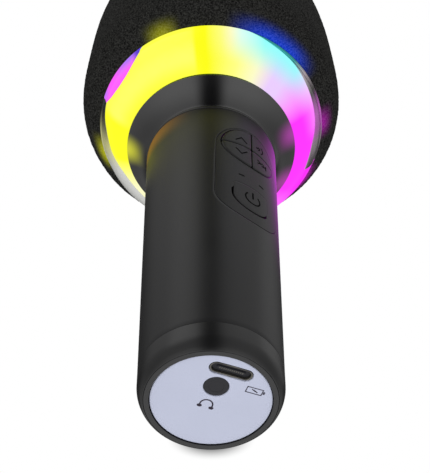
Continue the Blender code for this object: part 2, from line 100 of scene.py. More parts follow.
PANEL_AZIMUTH = math.radians(36.5)
PANEL_HALF_WIDTH = 9.8
PANEL_LOW_Z = 48.5
PANEL_TOP_Z = 91.3
PANEL_THICK = 3.0
PANEL_SPLIT_Z = 70.0
PANEL_GAP = 0.14
WINDOW_MIDDLE_Z = 69.0
CLUSTER_Z = 82.0
CLUSTER_R = 8.55
KEY_GAP = 0.32
KEY_PROUD = 0.2
KEY_THICK = 1.4
POWER_Z = 58.5
POWER_R = 5.42
POWER_TOP_Z = 63.5
POWER_SLIT = 0.5
LIGHT_PIPE_Z = 67.4
LIGHT_PIPE_OFFSET = 3.25

USB_CENTRE = (4.3, -8.7)
USB_TURN = math.radians(20.6)
USB_LENGTH = 10.0
USB_WIDTH = 3.4
JACK_CENTRE = (1.1, -4.3)
JACK_HOLE_R = 2.85

AROUND = 288
MARK_STEP = 0.25
SAME_PLACE = 1e-6


# ---------------------------------------------------------------- outlines
def arc(centre, radius, start, stop, count):
    """Points on a circle from one angle in degrees to another."""
    turn = np.radians(np.linspace(start, stop, count))
    return np.stack([centre[0] + radius * np.cos(turn), centre[1] + radius * np.sin(turn)], 1)


def line(start, stop, count):
    """Evenly spaced points from start to stop."""
    return np.linspace(start, stop, count)


def closed(*stretches):
    """Stretches joined end to end into one closed outline, each shared end kept once."""
    points = np.concatenate(stretches)
    keep = np.linalg.norm(points - np.roll(points, 1, 0), axis=1) > SAME_PLACE
    return points[keep]


def stadium(centre, length, width, count=24):
    """A slot's outline: two half circles joined by straight sides, lying along the first axis."""
    x, y = centre
    half = (length - width) / 2
    radius = width / 2
    return closed(arc((x + half, y), radius, -90, 90, count),
                  line((x + half, y + radius), (x - half, y + radius), count),
                  arc((x - half, y), radius, 90, 270, count),
                  line((x - half, y - radius), (x + half, y - radius), count))


def rounded(corners, cuts, steps=5):
    """A chain of corners in which each corner is a small curve that starts and ends its cut away from it."""
    corners = np.array(corners, float)
    ahead = np.roll(corners, -1, 0) - corners
    behind = np.roll(corners, 1, 0) - corners
    ahead /= np.linalg.norm(ahead, axis=1)[:, None]
    behind /= np.linalg.norm(behind, axis=1)[:, None]
    cuts = np.array(cuts, float)[:, None, None]
    t = np.linspace(0, 1, steps)[None, :, None]
    curve = corners[:, None] + cuts * ((1 - t) ** 2 * behind[:, None] + t ** 2 * ahead[:, None])
    return curve.reshape(-1, 2)


def reach(outline, centre, toward):
    """The points where rays from centre towards the given points cross a closed outline round it."""
    spokes = outline - centre
    angles = np.arctan2(spokes[:, 1], spokes[:, 0])
    order = np.argsort(angles)
    rays = toward - centre
    wanted = np.arctan2(rays[:, 1], rays[:, 0])
    length = np.interp(wanted, angles[order], np.linalg.norm(spokes, axis=1)[order], period=2 * math.pi)
    return np.stack([centre[0] + length * np.cos(wanted), centre[1] + length * np.sin(wanted)], 1)


def moved(outline, centre, distance):
    """An outline whose points are moved away from centre by distance."""
    spokes = outline - centre
    return outline + spokes / np.linalg.norm(spokes, axis=1)[:, None] * np.reshape(distance, (-1, 1))


def smooth(value, start, stop):
    """0 before start, 1 after stop, and an S-curve between."""
    t = np.clip((value - start) / (stop - start), 0, 1)
    return t * t * (3 - 2 * t)


# ---------------------------------------------------------------- meshes
def grid(rows, close_rows=False, skip=None):
    """Points and faces of a grid whose columns close on themselves; skip marks faces that are left out."""
    count, columns = rows.shape[:2]
    i = np.arange(count if close_rows else count - 1)[:, None]
    j = np.arange(columns)[None, :]
    following = (j + 1) % columns
    above = (i + 1) % count
    corners = [(i, j), (i, following), (above, following), (above, j)]
    faces = np.stack([row * columns + column for row, column in corners], -1)
    if skip is not None:
        faces = faces[~skip]
    return rows.reshape(-1, 3), faces.reshape(-1, 4)


def piece(name, parts, finish, body, stands_for=(), slot=None, crease=38):
    """One object from several grids: welded where they meet, faces outward, sharp only at real corners."""
    shift = 0
    points = []
    faces = []
    for part_points, part_faces in parts:
        points.append(part_points)
        faces.append(part_faces + shift)
        shift += len(part_points)
    mesh = bpy.data.meshes.new(name)
    mesh.from_pydata(np.concatenate(points) * MM, [], np.concatenate(faces).tolist(), shade_flat=False)
    shell = bmesh.new()
    shell.from_mesh(mesh)
    bmesh.ops.remove_doubles(shell, verts=shell.verts, dist=2e-6)
    bmesh.ops.delete(shell, geom=[v for v in shell.verts if not v.link_faces], context="VERTS")
    bmesh.ops.recalc_face_normals(shell, faces=shell.faces)
    shell.to_mesh(mesh)
    shell.free()
    mesh.polygons.foreach_set("use_smooth", np.ones(len(mesh.polygons), bool))
    mesh.set_sharp_from_angle(angle=math.radians(crease))
    mesh.materials.append(finish)
    obj = bpy.data.objects.new(name, mesh)
    bpy.context.scene.collection.objects.link(obj)
    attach(obj, body)
    if stands_for:
        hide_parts(*stands_for)
    return obj


def around(radius, azimuth, height):
    """The point at that radius, azimuth and height: x = radius sin(azimuth), y = -radius cos(azimuth)."""
    x = radius * np.sin(azimuth)
    y = -radius * np.cos(azimuth)
    return np.stack(np.broadcast_arrays(x, y, height), -1)


def turned(profile, count=AROUND):
    """A closed profile of (radius, height) carried round Z."""
    azimuth = np.linspace(0, 2 * math.pi, count, endpoint=False)[None, :]
    return grid(around(profile[:, :1], azimuth, profile[:, 1:]), close_rows=True)


def capped(rows):
    """A tube of rows, closed at both ends on the middles of its end rows."""
    first, last = [np.broadcast_to(row.mean(0), row.shape)[None] for row in (rows[0], rows[-1])]
    return grid(np.concatenate([first, rows, last]))


PANEL_OUT = np.array([math.sin(PANEL_AZIMUTH), -math.cos(PANEL_AZIMUTH), 0])
PANEL_ACROSS = np.array([math.cos(PANEL_AZIMUTH), math.sin(PANEL_AZIMUTH), 0])
UP = np.array([0, 0, 1.0])


def handle_radius(z):
    """The handle's radius grows evenly from its lower to its upper end."""
    growth = (HANDLE_TOP_R - HANDLE_LOW_R) * (z - HANDLE_LOW_Z)
    return HANDLE_LOW_R + growth / (HANDLE_TOP_Z - HANDLE_LOW_Z)


def on_skin(outline, lift):
    """Face-on panel coordinates laid on the handle's cone: out = sqrt(radius^2 - across^2) + lift."""
    across, z = outline[..., :1], outline[..., 1:]
    out = np.sqrt(handle_radius(z) ** 2 - across ** 2) + lift
    return across * PANEL_ACROSS + out * PANEL_OUT + z * UP


def on_handle(azimuth, z, lift):
    """Unrolled handle coordinates, azimuth from the panel's middle, on the cone raised by lift."""
    radius = (handle_radius(z) + lift)[..., None]
    azimuth = azimuth[..., None]
    return radius * (np.sin(azimuth) * PANEL_ACROSS + np.cos(azimuth) * PANEL_OUT) + z[..., None] * UP


def on_plate(outline, lift):
    """Coordinates seen on the base plate, raised downward from its face by lift."""
    height = PLATE_FACE_Z - lift + 0 * outline[..., :1]
    return np.concatenate([outline, height], -1)


def pad(outline, centre, edge, place, insets=(0.25, 0.5, 0.75), crown=0.0, depth=KEY_THICK):
    """A closed slab: from the middle of its underside up the wall, over its edge of (inset, lift) pairs and
    in to the crown, which rises by a parabola."""
    centre = np.array(centre, float)
    rows = [place(np.broadcast_to(centre, outline.shape), edge[0][1] - depth),
            place(outline, edge[0][1] - depth)]
    for inset, lift in edge:
        rows.append(place(moved(outline, centre, -inset), lift))
    inset, lift = edge[-1]
    inner = moved(outline, centre, -inset)
    for share in insets:
        rows.append(place(inner + (centre - inner) * share, lift + crown * (1 - (1 - share) ** 2)))
    rows.append(place(np.broadcast_to(centre, outline.shape), lift + crown))
    return grid(np.array(rows))


def holed(hole, centre, rim, shared, hole_edge, rim_edge, place, steps=12):
    """Part of a plate: rows run up the hole's wall over its edge, across the face and down the rim. The
    stretch of rim marked shared has no wall, because the next part goes on there."""
    centre = np.array(centre, float)
    opening = reach(hole, centre, rim)
    rows = [place(moved(opening, centre, inset), lift) for inset, lift in hole_edge]
    start = moved(opening, centre, hole_edge[-1][0])
    stop = moved(rim, centre, -np.where(shared, 0, rim_edge[0][0]))
    for share in np.linspace(0, 1, steps)[1:-1]:
        rows.append(place(start + (stop - start) * share, 0.0))
    face_rows = len(rows)
    for inset, lift in rim_edge:
        rows.append(place(moved(rim, centre, -np.where(shared, 0, inset)), lift))
    skip = np.zeros((len(rows), len(rim)), bool)
    skip[face_rows:-1] = (shared & np.roll(shared, -1))[None, :]
    return grid(np.array(rows), close_rows=True, skip=skip)


def ribbon(path, width, place, lift=0.04, sink=0.06):
    """A flat line mark: a small box section carried along a path, mitred at its corners."""
    corners = np.array(path, float)
    run = np.concatenate([[0], np.cumsum(np.linalg.norm(np.diff(corners, axis=0), axis=1))])
    stops = np.unique(np.concatenate([run, np.linspace(0, run[-1], int(run[-1] / MARK_STEP) + 2)]).round(4))
    path = np.stack([np.interp(stops, run, corners[:, axis]) for axis in (0, 1)], 1)
    steps = np.diff(path, axis=0)
    steps /= np.linalg.norm(steps, axis=1)[:, None]
    before = np.concatenate([steps[:1], steps])
    after = np.concatenate([steps, steps[-1:]])
    along = before + after
    along /= np.linalg.norm(along, axis=1)[:, None]
    stretch = 1 / np.clip((along * after).sum(1), 0.35, 1)
    side = np.stack([-along[:, 1], along[:, 0]], 1) * (width / 2 * stretch)[:, None]
    section = [(path + side, -sink), (path + side, lift), (path - side, lift), (path - side, -sink)]
    return capped(np.stack([place(points, height) for points, height in section], 1))


# ---------------------------------------------------------------- finishes
def tint(red, green, blue):
    """A colour given in screen values of 0 to 255, as the linear colour that a shader takes."""
    screen = np.array([red, green, blue]) / 255
    linear = np.where(screen < 0.04045, screen / 12.92, ((screen + 0.055) / 1.055) ** 2.4)
    return (*linear.tolist(), 1.0)


class Value:
    """A shader socket that holds one number; arithmetic on it adds the Math nodes."""

    def __init__(self, finish, socket):
        self.finish = finish
        self.socket = socket

    def math(self, operation, *others, swap=False):
        """A Math node on this number and others; swap puts this one last."""
        values = [self, *others]
        if swap:
            values.reverse()
        node = self.finish.node("ShaderNodeMath", {"operation": operation}, dict(enumerate(values)))
        return Value(self.finish, node.outputs[0])

    def __add__(self, other):
        return self.math("ADD", other)

    def __sub__(self, other):
        return self.math("SUBTRACT", other)

    def __mul__(self, other):
        return self.math("MULTIPLY", other)

    def __truediv__(self, other):
        return self.math("DIVIDE", other)

    def __pow__(self, other):
        return self.math("POWER", other)

    def __radd__(self, other):
        return self.math("ADD", other, swap=True)

    def __rsub__(self, other):
        return self.math("SUBTRACT", other, swap=True)

    def __rmul__(self, other):
        return self.math("MULTIPLY", other, swap=True)

    def __abs__(self):
        return self.math("ABSOLUTE")

    def between(self, start, stop, low_value=0.0, high_value=1.0):
        """An S-curve from low_value at start to high_value at stop."""
        node = self.finish.node("ShaderNodeMapRange", {"interpolation_type": "SMOOTHSTEP"},
                                {0: self, 1: start, 2: stop, 3: low_value, 4: high_value})
        return Value(self.finish, node.outputs[0])

    def near(self, middle, half):
        """1 at the middle, falling to 0 at half away from it."""
        return abs(self - middle).between(0.0, half, 1.0, 0.0)


class Nodes:
    """A node tree, to which node() adds any node."""

    def __init__(self, tree):
        self.tree = tree

    def fill(self, node, inputs):
        """Sets or links a node's sockets."""
        for key, value in inputs.items():
            if isinstance(value, Value):
                value = value.socket
            if isinstance(value, bpy.types.NodeSocket):
                self.tree.links.new(value, node.inputs[key])
            else:
                node.inputs[key].default_value = value

    def node(self, kind, settings=(), inputs=()):
        """A node of that type, with its settings made first and then its sockets' values or links."""
        node = self.tree.nodes.new(kind)
        for key, value in dict(settings).items():
            if key == "stops":
                ramp = node.color_ramp.elements
                while len(ramp) < len(value):
                    ramp.new(1.0)
                for element, (position, colour) in zip(ramp, value):
                    element.position = position
                    element.color = colour
            else:
                setattr(node, key, value)
        self.fill(node, dict(inputs))
        return node

    def split(self, socket):
        """The x, y and z of a vector."""
        parts = self.node("ShaderNodeSeparateXYZ", {}, {0: socket})
        return [Value(self, part) for part in parts.outputs]

    def blend(self, share, first, second):
        """The first shader turned by share into the second, which a share of 1 leaves alone."""
        shaders = {0: share, 1: first.outputs[0], 2: second.outputs[0]}
        return self.node("ShaderNodeMixShader", {}, shaders)

    def output(self, shader, name="Material Output"):
        """Makes a shader the one that shows."""
        self.tree.links.new(shader.outputs[0], self.tree.nodes[name].inputs["Surface"])


class Finish(Nodes):
    """One material, with the numbers and colours that finishes share."""

    def __init__(self, name, **sockets):
        self.material = bpy.data.materials.new(name)
        self.material.use_nodes = True
        super().__init__(self.material.node_tree)
        self.shader = self.tree.nodes["Principled BSDF"]
        self.place = self.node("ShaderNodeTexCoord").outputs["Object"]
        self.set(**sockets)

    def set(self, **sockets):
        """Principled sockets by name, with _ for a space."""
        self.fill(self.shader, {key.replace("_", " "): value for key, value in sockets.items()})

    def glow(self, colour):
        """Light that the surface gives off, or painted light that the lit ring throws on it."""
        self.set(Emission_Color=colour, Emission_Strength=1.0)

    def axes(self):
        """x, y and z of the surface point in millimetres."""
        return [part * (1 / MM) for part in self.split(self.place)]

    def height(self):
        """Height of the surface point in millimetres."""
        return self.axes()[2]

    def azimuth(self):
        """Azimuth of the surface point in degrees, from -180 to 180, 0 facing -Y."""
        x, y = self.axes()[:2]
        return x.math("ARCTAN2", y * -1.0) * (180 / math.pi)

    def radius(self):
        """Distance of the surface point from the axis in millimetres."""
        x, y = self.axes()[:2]
        return (x * x + y * y).math("SQRT")

    def ring_share(self):
        """0 at the light ring's inner edge and 1 at its outer edge."""
        return (self.radius() - LIGHT_LOW_R) / (LIGHT_TOP_R - LIGHT_LOW_R)

    def noise(self, size, detail=2.0, rough=0.5, stretch=None):
        """Noise from 0 to 1 whose blots are about size millimetres across."""
        place = self.place
        if stretch:
            place = self.node("ShaderNodeMapping", {}, {"Vector": place, "Scale": stretch}).outputs[0]
        node = self.node("ShaderNodeTexNoise", {}, {"Vector": place, "Scale": 1 / (size * MM),
                                                    "Detail": detail, "Roughness": rough})
        return Value(self, node.outputs["Fac"])

    def cells(self, size):
        """Distance to the nearest of a scatter of points about size millimetres apart."""
        node = self.node("ShaderNodeTexVoronoi", {}, {"Vector": self.place, "Scale": 1 / (size * MM)})
        return Value(self, node.outputs["Distance"])

    def ramp(self, value, stops):
        """A colour that runs through stops of (value from 0 to 1, colour)."""
        return self.node("ShaderNodeValToRGB", {"stops": stops}, {0: value}).outputs[0]

    def mix(self, share, first, second):
        """The first colour turned by share into the second."""
        return self.node("ShaderNodeMix", {"data_type": "RGBA"}, {0: share, 6: first, 7: second}).outputs[2]

    def bump(self, height, depth):
        """Relief of that depth in millimetres for a height from 0 to 1."""
        node = self.node("ShaderNodeBump", {}, {"Height": height, "Distance": depth * MM, "Strength": 1.0})
        self.set(Normal=node.outputs[0])


BLACK = (0, 0, 0, 1)
WHITE = (1, 1, 1, 1)


def toned(colour, factor):
    """A colour made darker or lighter by a factor, as far as white."""
    return (*(min(1.0, part * factor) for part in colour[:3]), 1.0)


def moulded(name, colour, roughness, grain=0.35, depth=0.006, specular=0.5, patch=0.12):
    """A moulded or painted surface: fine grain in its relief, and slow blots in its colour and gloss."""
    finish = Finish(name, Specular_IOR_Level=specular)
    blots = finish.noise(14.0, 3.0)
    fine = finish.noise(grain, 2.0)
    share = blots.between(0.3, 0.7) * 0.7 + fine * 0.3
    finish.set(Base_Color=finish.mix(share, toned(colour, 1 - patch), toned(colour, 1 + patch)),
               Roughness=roughness + (blots - 0.5) * 0.05 + (fine - 0.5) * 0.06)
    finish.bump(fine, depth)
    return finish


def side_sheen(finish, azimuth, z, under=BLACK):
    """Painted violet light on the handle's side below the pink part of the ring, over the light given."""
    across = azimuth.between(40.0, 92.0) ** 1.8 * azimuth.between(94.0, 116.0, 1.0, 0.0)
    share = across * z.between(30.0, 90.0) ** 1.3 * 0.55
    finish.glow(finish.mix(share, under, tint(225, 62, 240)))


def make_satin():
    """Satin black paint over the handle, with a painted soft warm and violet sheen where the ring lights its
    top.
    """
    finish = moulded("satin_black", tint(23, 23, 24), 0.38, 0.3, 0.004, 0.3)
    azimuth = finish.azimuth()
    z = finish.height()
    # painted amber glow of the ring along the handle's top shoulder
    painted_amber_glow = azimuth.near(-62.0, 48.0) * z.between(90.0, 98.0) * 0.2
    side_sheen(finish, azimuth, z, finish.mix(painted_amber_glow, BLACK, tint(255, 180, 40)))
    return finish.material


def make_panel_finish(name, colour):
    """The panel's and keys' matt black, with the same painted violet sheen along their side nearer to it."""
    finish = moulded(name, colour, 0.42, 0.25, 0.006, 0.28)
    side_sheen(finish, finish.azimuth(), finish.height())
    return finish.material


def make_collar_finish():
    """Semi-gloss black collar with the ring's colours painted on its upper edge as glow."""
    finish = moulded("collar_black", tint(14, 14, 15), 0.18, 0.3, 0.002, 0.8)
    azimuth = finish.azimuth()
    edge = finish.height().between(101.0, 108.0) ** 1.5
    # painted yellow and pink glows of the ring near the collar's top edge
    yellow = azimuth.near(-88.0, 14.0) * edge * 0.7
    pink = (azimuth.near(76.0, 14.0) + azimuth.near(115.0, 17.0)) * edge * 0.34
    warm = finish.mix(yellow, BLACK, tint(235, 235, 10))
    finish.glow(finish.mix(pink, warm, tint(250, 50, 240)))
    return finish.material


def make_cap_finish():
    """Satin black, with painted light that makes it greyer on the flat rim round the plate."""
    black = tint(15, 15, 16)
    finish = moulded("cap_black", black, 0.3, 0.3, 0.003, 0.42)
    patches = finish.noise(9.0, 2.0) * 0.1 + 0.9
    # painted light: the downward-facing flat rim is lightened towards grey, in soft patches
    flat = finish.height().between(0.02, 0.25, 1.0, 0.0)
    finish.set(Base_Color=finish.mix(flat * patches, black, tint(54, 54, 55)))
    return finish.material


def make_foam():
    """Open foam: light and dark cells over soft blots, with the ring's light painted on as glow near the
    ring.
    """
    finish = Finish("head_foam", Roughness=1.0, Specular_IOR_Level=0.02)
    speckle = finish.noise(0.5, 2.0, 0.7)
    coarse = finish.noise(3.0, 2.0)
    cells = finish.cells(0.75)
    share = speckle.between(0.34, 0.68) * 0.85 + coarse * 0.15
    finish.set(Base_Color=finish.mix(share, tint(6, 6, 6), tint(61, 61, 59)))
    azimuth = finish.azimuth()
    grainy = 0.45 + speckle * 1.1
    low = (finish.height() - HEAD_LOW_Z).between(0.0, 6.0, 1.0, 0.0) ** 2.5
    # painted glows of the ring's yellow, blue and pink light on the foam just above it
    yellow = (azimuth.near(-25.0, 11.0) * 0.28 + azimuth.near(-105.0, 13.0) * 0.5) * low
    blue = azimuth.between(6.0, 30.0) * azimuth.between(42.0, 62.0, 1.0, 0.0) * low
    pink = (azimuth.near(87.0, 11.0) * 0.38 + azimuth.near(124.0, 14.0) * 0.7) * low
    light = finish.mix(yellow * grainy, BLACK, tint(240, 240, 0))
    light = finish.mix(blue * grainy * 0.8, light, tint(0, 60, 215))
    finish.glow(finish.mix(pink * grainy, light, tint(220, 0, 215)))
    finish.bump(speckle * 0.6 + cells * 0.5, 0.3)
    return finish.material


LEMON = tint(254, 254, 28)
PALE_LEMON = tint(254, 254, 130)
CREAM = tint(251, 250, 200)
BLUSH = tint(255, 215, 240)
ICE = tint(215, 255, 245)
AQUA = tint(132, 254, 251)
LILAC = tint(234, 204, 254)
ROSE = tint(252, 145, 254)
MAGENTA = tint(255, 48, 255)
INNER_LIGHT = [(-180, BLUSH), (-150, CREAM), (-120, CREAM), (-108, PALE_LEMON), (-98, LEMON),
               (-2, LEMON), (15, PALE_LEMON), (27, CREAM), (38, LILAC), (45, LILAC), (59, ROSE),
               (70, MAGENTA), (122, MAGENTA), (150, ROSE), (180, BLUSH)]
OUTER_LIGHT = [(-180, BLUSH), (-150, CREAM), (-112, CREAM), (-102, PALE_LEMON), (-92, LEMON),
               (-3, LEMON), (5, PALE_LEMON), (10, CREAM), (15, ICE), (28, AQUA), (49, AQUA), (60, LILAC),
               (71, ROSE), (80, ROSE), (88, MAGENTA), (122, MAGENTA), (150, ROSE), (180, BLUSH)]


def by_azimuth(finish, azimuth, colours):
    """A ramp round the axis through colours at azimuths in degrees."""
    stops = [((turn + 180) / 360, colour) for turn, colour in colours]
    return finish.ramp(azimuth / 360.0 + 0.5, stops)


def make_diffuser():
    """The lit ring: one run of colours by azimuth at its inner edge and one at its outer edge, with a paler
    band between them on the yellow side, under a smooth clear skin."""
    finish = Finish("lit_diffuser", Base_Color=BLACK, Roughness=0.16, Specular_IOR_Level=0.18)
    azimuth = finish.azimuth()
    across = finish.ring_share()
    inner = by_azimuth(finish, azimuth, INNER_LIGHT)
    outer = by_azimuth(finish, azimuth, OUTER_LIGHT)
    light = finish.mix(across.between(0.3, 1.05), inner, outer)
    band = azimuth.between(-76.0, -70.0) * azimuth.between(-10.5, -7.5, 1.0, 0.0)
    band = band * across.between(0.0, 0.5, 0.25, 1.0) * across.between(0.55, 1.0, 1.0, 0.35)
    mottle = finish.noise(3.0, 2.0) * 0.2 + 0.9
    finish.glow(finish.mix(band * mottle * 0.12, light, WHITE))
    finish.bump(finish.noise(0.5, 2.0), 0.001)
    return finish.material


def make_lens():
    """The lit accent window: magenta inside, violet towards its outer edge, deep blue at its top corner."""
    finish = Finish("lit_window", Base_Color=BLACK, Roughness=0.12, Specular_IOR_Level=0.3)
    azimuth = finish.azimuth()
    across = finish.ring_share()
    left = azimuth.between(0.0, 10.0, 1.0, 0.0)
    upper = azimuth.near(-45.0, 16.0) * 0.8 + azimuth.near(-69.0, 7.0) * 0.6
    body = finish.mix(across.between(0.85, 1.0) * upper, tint(255, 84, 251), tint(140, 124, 246))
    body = finish.mix(across.between(0.3, 0.6) * (1.0 - left), body, tint(252, 40, 250))
    corner = azimuth.between(-44.0, -39.5) * left
    streak = finish.noise(2.5, 2.0) * 0.12
    finish.glow(finish.mix(corner * (1.0 - streak), body, tint(64, 40, 205)))
    finish.bump(finish.noise(0.5, 2.0), 0.002)
    return finish.material


# Colours painted on the bright sweeps as reflections: silver and khaki for the bright room, teal and plum for
# the lit ring, smoke and pewter grey between.
SILVER = tint(252, 252, 248)
KHAKI = tint(246, 243, 170)
SMOKE = tint(76, 76, 72)
TEAL = tint(52, 170, 168)
PEWTER = tint(205, 190, 200)
PLUM = tint(255, 128, 255)
SWEEP_REFLECTIONS = [(-180, SILVER), (-108, SILVER), (-94, KHAKI), (-77, SMOKE), (15, TEAL), (46, TEAL),
                 (55, PEWTER), (65, SMOKE), (76, PLUM), (84, PLUM), (92, PEWTER), (110, PEWTER),
                 (140, SILVER), (180, SILVER)]


def make_bright_trim():
    """Satin-plated sweeps with fine turning lines and painted reflections: pale at one side, grey at the
    other, with the ring's colours painted where they would mirror it. The pale side is made less metallic, so
    that its painted reflection shows."""
    finish = Finish("bright_trim")
    azimuth = finish.azimuth()
    step = 0.12
    lines = finish.radius().math("PINGPONG", step) / step
    blots = finish.noise(6.0, 2.0)
    shade = by_azimuth(finish, azimuth, SWEEP_REFLECTIONS)
    finish.set(Base_Color=finish.mix(blots * 0.12, shade, tint(120, 122, 120)),
               Metallic=azimuth.between(-92.0, -76.0, 0.15, 1.0), Roughness=0.2 + lines * 0.06 + blots * 0.05)
    finish.bump(lines, 0.001)
    return finish.material


def make_board():
    """Green circuit board with a maze of tracks under its solder mask."""
    finish = Finish("board_green", Roughness=0.35)
    sockets = {"Vector": finish.place, "Scale": 420.0, "Mortar Size": 0.03}
    tracks = finish.node("ShaderNodeTexBrick", {}, sockets).outputs["Fac"]
    finish.set(Base_Color=finish.mix(tracks, (0.012, 0.11, 0.045, 1), (0.03, 0.2, 0.08, 1)))
    finish.bump(tracks, 0.02)
    return finish.material


def metal(name, colour, roughness):
    """Plated or drawn metal: fine lines round the axis and slow blots in its gloss."""
    finish = Finish(name, Metallic=1.0)
    lines = finish.noise(0.25, 2.0, 0.5, (1.0, 1.0, 12.0))
    blots = finish.noise(5.0, 2.0)
    finish.set(Base_Color=finish.mix(blots * 0.4, colour, toned(colour, 0.75)),
               Roughness=roughness + lines * 0.12)
    finish.bump(lines, 0.003)
    return finish.material


def make_paper():
    """Pressed paper cone: matted fibres."""
    finish = Finish("cone_paper", Roughness=0.88)
    fibres = finish.noise(0.8, 5.0, 0.7, (1.0, 1.0, 3.0))
    finish.set(Base_Color=finish.mix(fibres, (0.02, 0.02, 0.022, 1), (0.085, 0.085, 0.09, 1)))
    finish.bump(fibres, 0.08)
    return finish.material


satin_black = make_satin()
cap_black = make_cap_finish()
panel_black = make_panel_finish("panel_black", tint(22, 22, 23))
key_black = make_panel_finish("key_black", tint(23, 23, 24))
collar_black = make_collar_finish()
seam_finish = moulded("seam_black", tint(30, 30, 31), 0.3, 0.3, 0.003, 0.5).material
lavender = moulded("lavender_paint", tint(206, 211, 233), 0.5, 0.35, 0.003, 0.3, 0.02).material
ink_black = moulded("mark_black", tint(5, 5, 5), 0.8, 0.2, 0.002, 0.04).material
ink_plum = moulded("mark_plum", tint(62, 56, 68), 0.7, 0.2, 0.002, 0.1).material
port_grey = moulded("port_grey", tint(44, 44, 48), 0.5, 0.25, 0.004, 0.25).material
dark_plastic = moulded("dark_plastic", tint(44, 44, 46), 0.55, 0.3, 0.01).material
rubber = moulded("rubber", tint(34, 34, 34), 0.8, 0.4, 0.02, 0.3).material
ferrite = moulded("ferrite", tint(62, 62, 64), 0.7, 0.5, 0.02).material
led_package = moulded("led_package", tint(236, 233, 222), 0.35, 0.4, 0.004, 0.5, 0.03).material
pipe_clear = moulded("light_pipe", tint(4, 4, 5), 0.6, 0.3, 0.002, 0.03).material
sleeve = moulded("cell_sleeve", tint(30, 90, 170), 0.32, 0.6, 0.006, 0.5).material
steel = metal("plated_steel", tint(196, 194, 190), 0.28)
nickel = metal("nickel", tint(200, 194, 180), 0.25)
dark_metal = metal("port_metal", tint(126, 123, 116), 0.42)
cage_metal = metal("cage_metal", tint(150, 150, 152), 0.35)
bright_trim = make_bright_trim()
lit_diffuser = make_diffuser()
lit_window = make_lens()
head_foam_finish = make_foam()
board_green = make_board()
cone_paper = make_paper()


# ---------------------------------------------------------------- base: cap, plate and ports
def make_cap():
    """The base cap is a turned cup: flat rim, a fine groove, a rounded bevel, straight wall, and a ledge for
    the plate. Its top closes up to the handle but for a fine line."""
    inner = CAP_R - WALL
    ledge = PLATE_FACE_Z + PLATE_THICK
    top = HANDLE_LOW_Z - 0.08
    mouth = PLATE_R + 0.2
    seat = PLATE_R - 2.2
    corners = [(mouth, 0.0), (RIM_R, 0.0), (RIM_R + 0.06, 0.3), (RIM_R + 0.14, 0.06), (RIM_R + 0.65, 0.5),
               (CAP_R - 0.1, RIM_ROUND), (CAP_R, top), (inner, top), (inner, ledge + 1.4),
               (seat, ledge + 1.4), (seat, ledge + 0.05), (mouth, ledge + 0.05)]
    cuts = [0.12, 0.16, 0.03, 0.05, 0.45, 1.5, 0.07, 0.15, 0.2, 0.1, 0.1, 0.05]
    profile = rounded(corners, cuts, 9)
    piece("base_cap_shell", [turned(profile)], cap_black, "microphone", ["base_cap"], "satin_black", 50)


def in_mark(centre, turn):
    """A place function for outlines drawn about their own middle and turned by turn on the base plate."""
    def place(outline, lift):
        """The outline on the plate, raised by lift."""
        along, across = outline[..., :1], outline[..., 1:]
        x = centre[0] + along * math.cos(turn) - across * math.sin(turn)
        y = centre[1] + along * math.sin(turn) + across * math.cos(turn)
        return on_plate(np.concatenate([x, y], -1), lift)
    return place


in_slot = in_mark(USB_CENTRE, USB_TURN)
JACK_SIGN = (-1.1, 0.95)
CHARGING_SIGN = (9.45, -3.1)


def to_slot(x, y):
    """Coordinates on the plate, as coordinates along and across the USB slot."""
    x, y = x - USB_CENTRE[0], y - USB_CENTRE[1]
    along = x * math.cos(USB_TURN) + y * math.sin(USB_TURN)
    across = y * math.cos(USB_TURN) - x * math.sin(USB_TURN)
    return np.array([along, across])


def make_plate():
    """The lavender plate is a disc in two parts that meet on a line between its slot and its jack hole, each
    ruled from its opening's edge out to the disc's rim."""
    middle = to_slot(0, 0)
    jack = to_slot(*JACK_CENTRE)
    split = (USB_WIDTH / 2 + jack[1] - JACK_HOLE_R) / 2 + 0.05
    half = math.sqrt(PLATE_R ** 2 - (split - middle[1]) ** 2)
    right = math.degrees(math.atan2(split - middle[1], half))
    parting = line((middle[0] - half, split), (middle[0] + half, split), 120)
    hole_edge = [(0, -PLATE_THICK), (0, -0.2), (0.04, -0.08), (0.12, -0.02), (0.2, 0)]
    rim_edge = [(0.2, 0), (0.07, -0.03), (0, -0.12), (0, -PLATE_THICK)]
    parts = []
    near = closed(arc(middle, PLATE_R, -180 - right, right, 180), parting[::-1])
    far = closed(arc(middle, PLATE_R, right, 180 - right, 220), parting)
    for rim, hole, centre in ((near, stadium((0, 0), USB_LENGTH, USB_WIDTH, 60), (0, 0)),
                              (far, arc(jack, JACK_HOLE_R, 0, 359, 180), jack)):
        shared = abs(rim[:, 1] - split) < SAME_PLACE
        parts.append(holed(hole, centre, rim, shared, hole_edge, rim_edge, in_slot, 10))
    piece("base_plate_disc", parts, lavender, "microphone", ["base_plate"], "lavender", 50)


def lipped_tube(outline, centre, section, place):
    """A closed section of (offset, lift) pairs carried round an outline."""
    rows = [place(moved(outline, centre, offset), lift) for offset, lift in section]
    return grid(np.array(rows), close_rows=True)


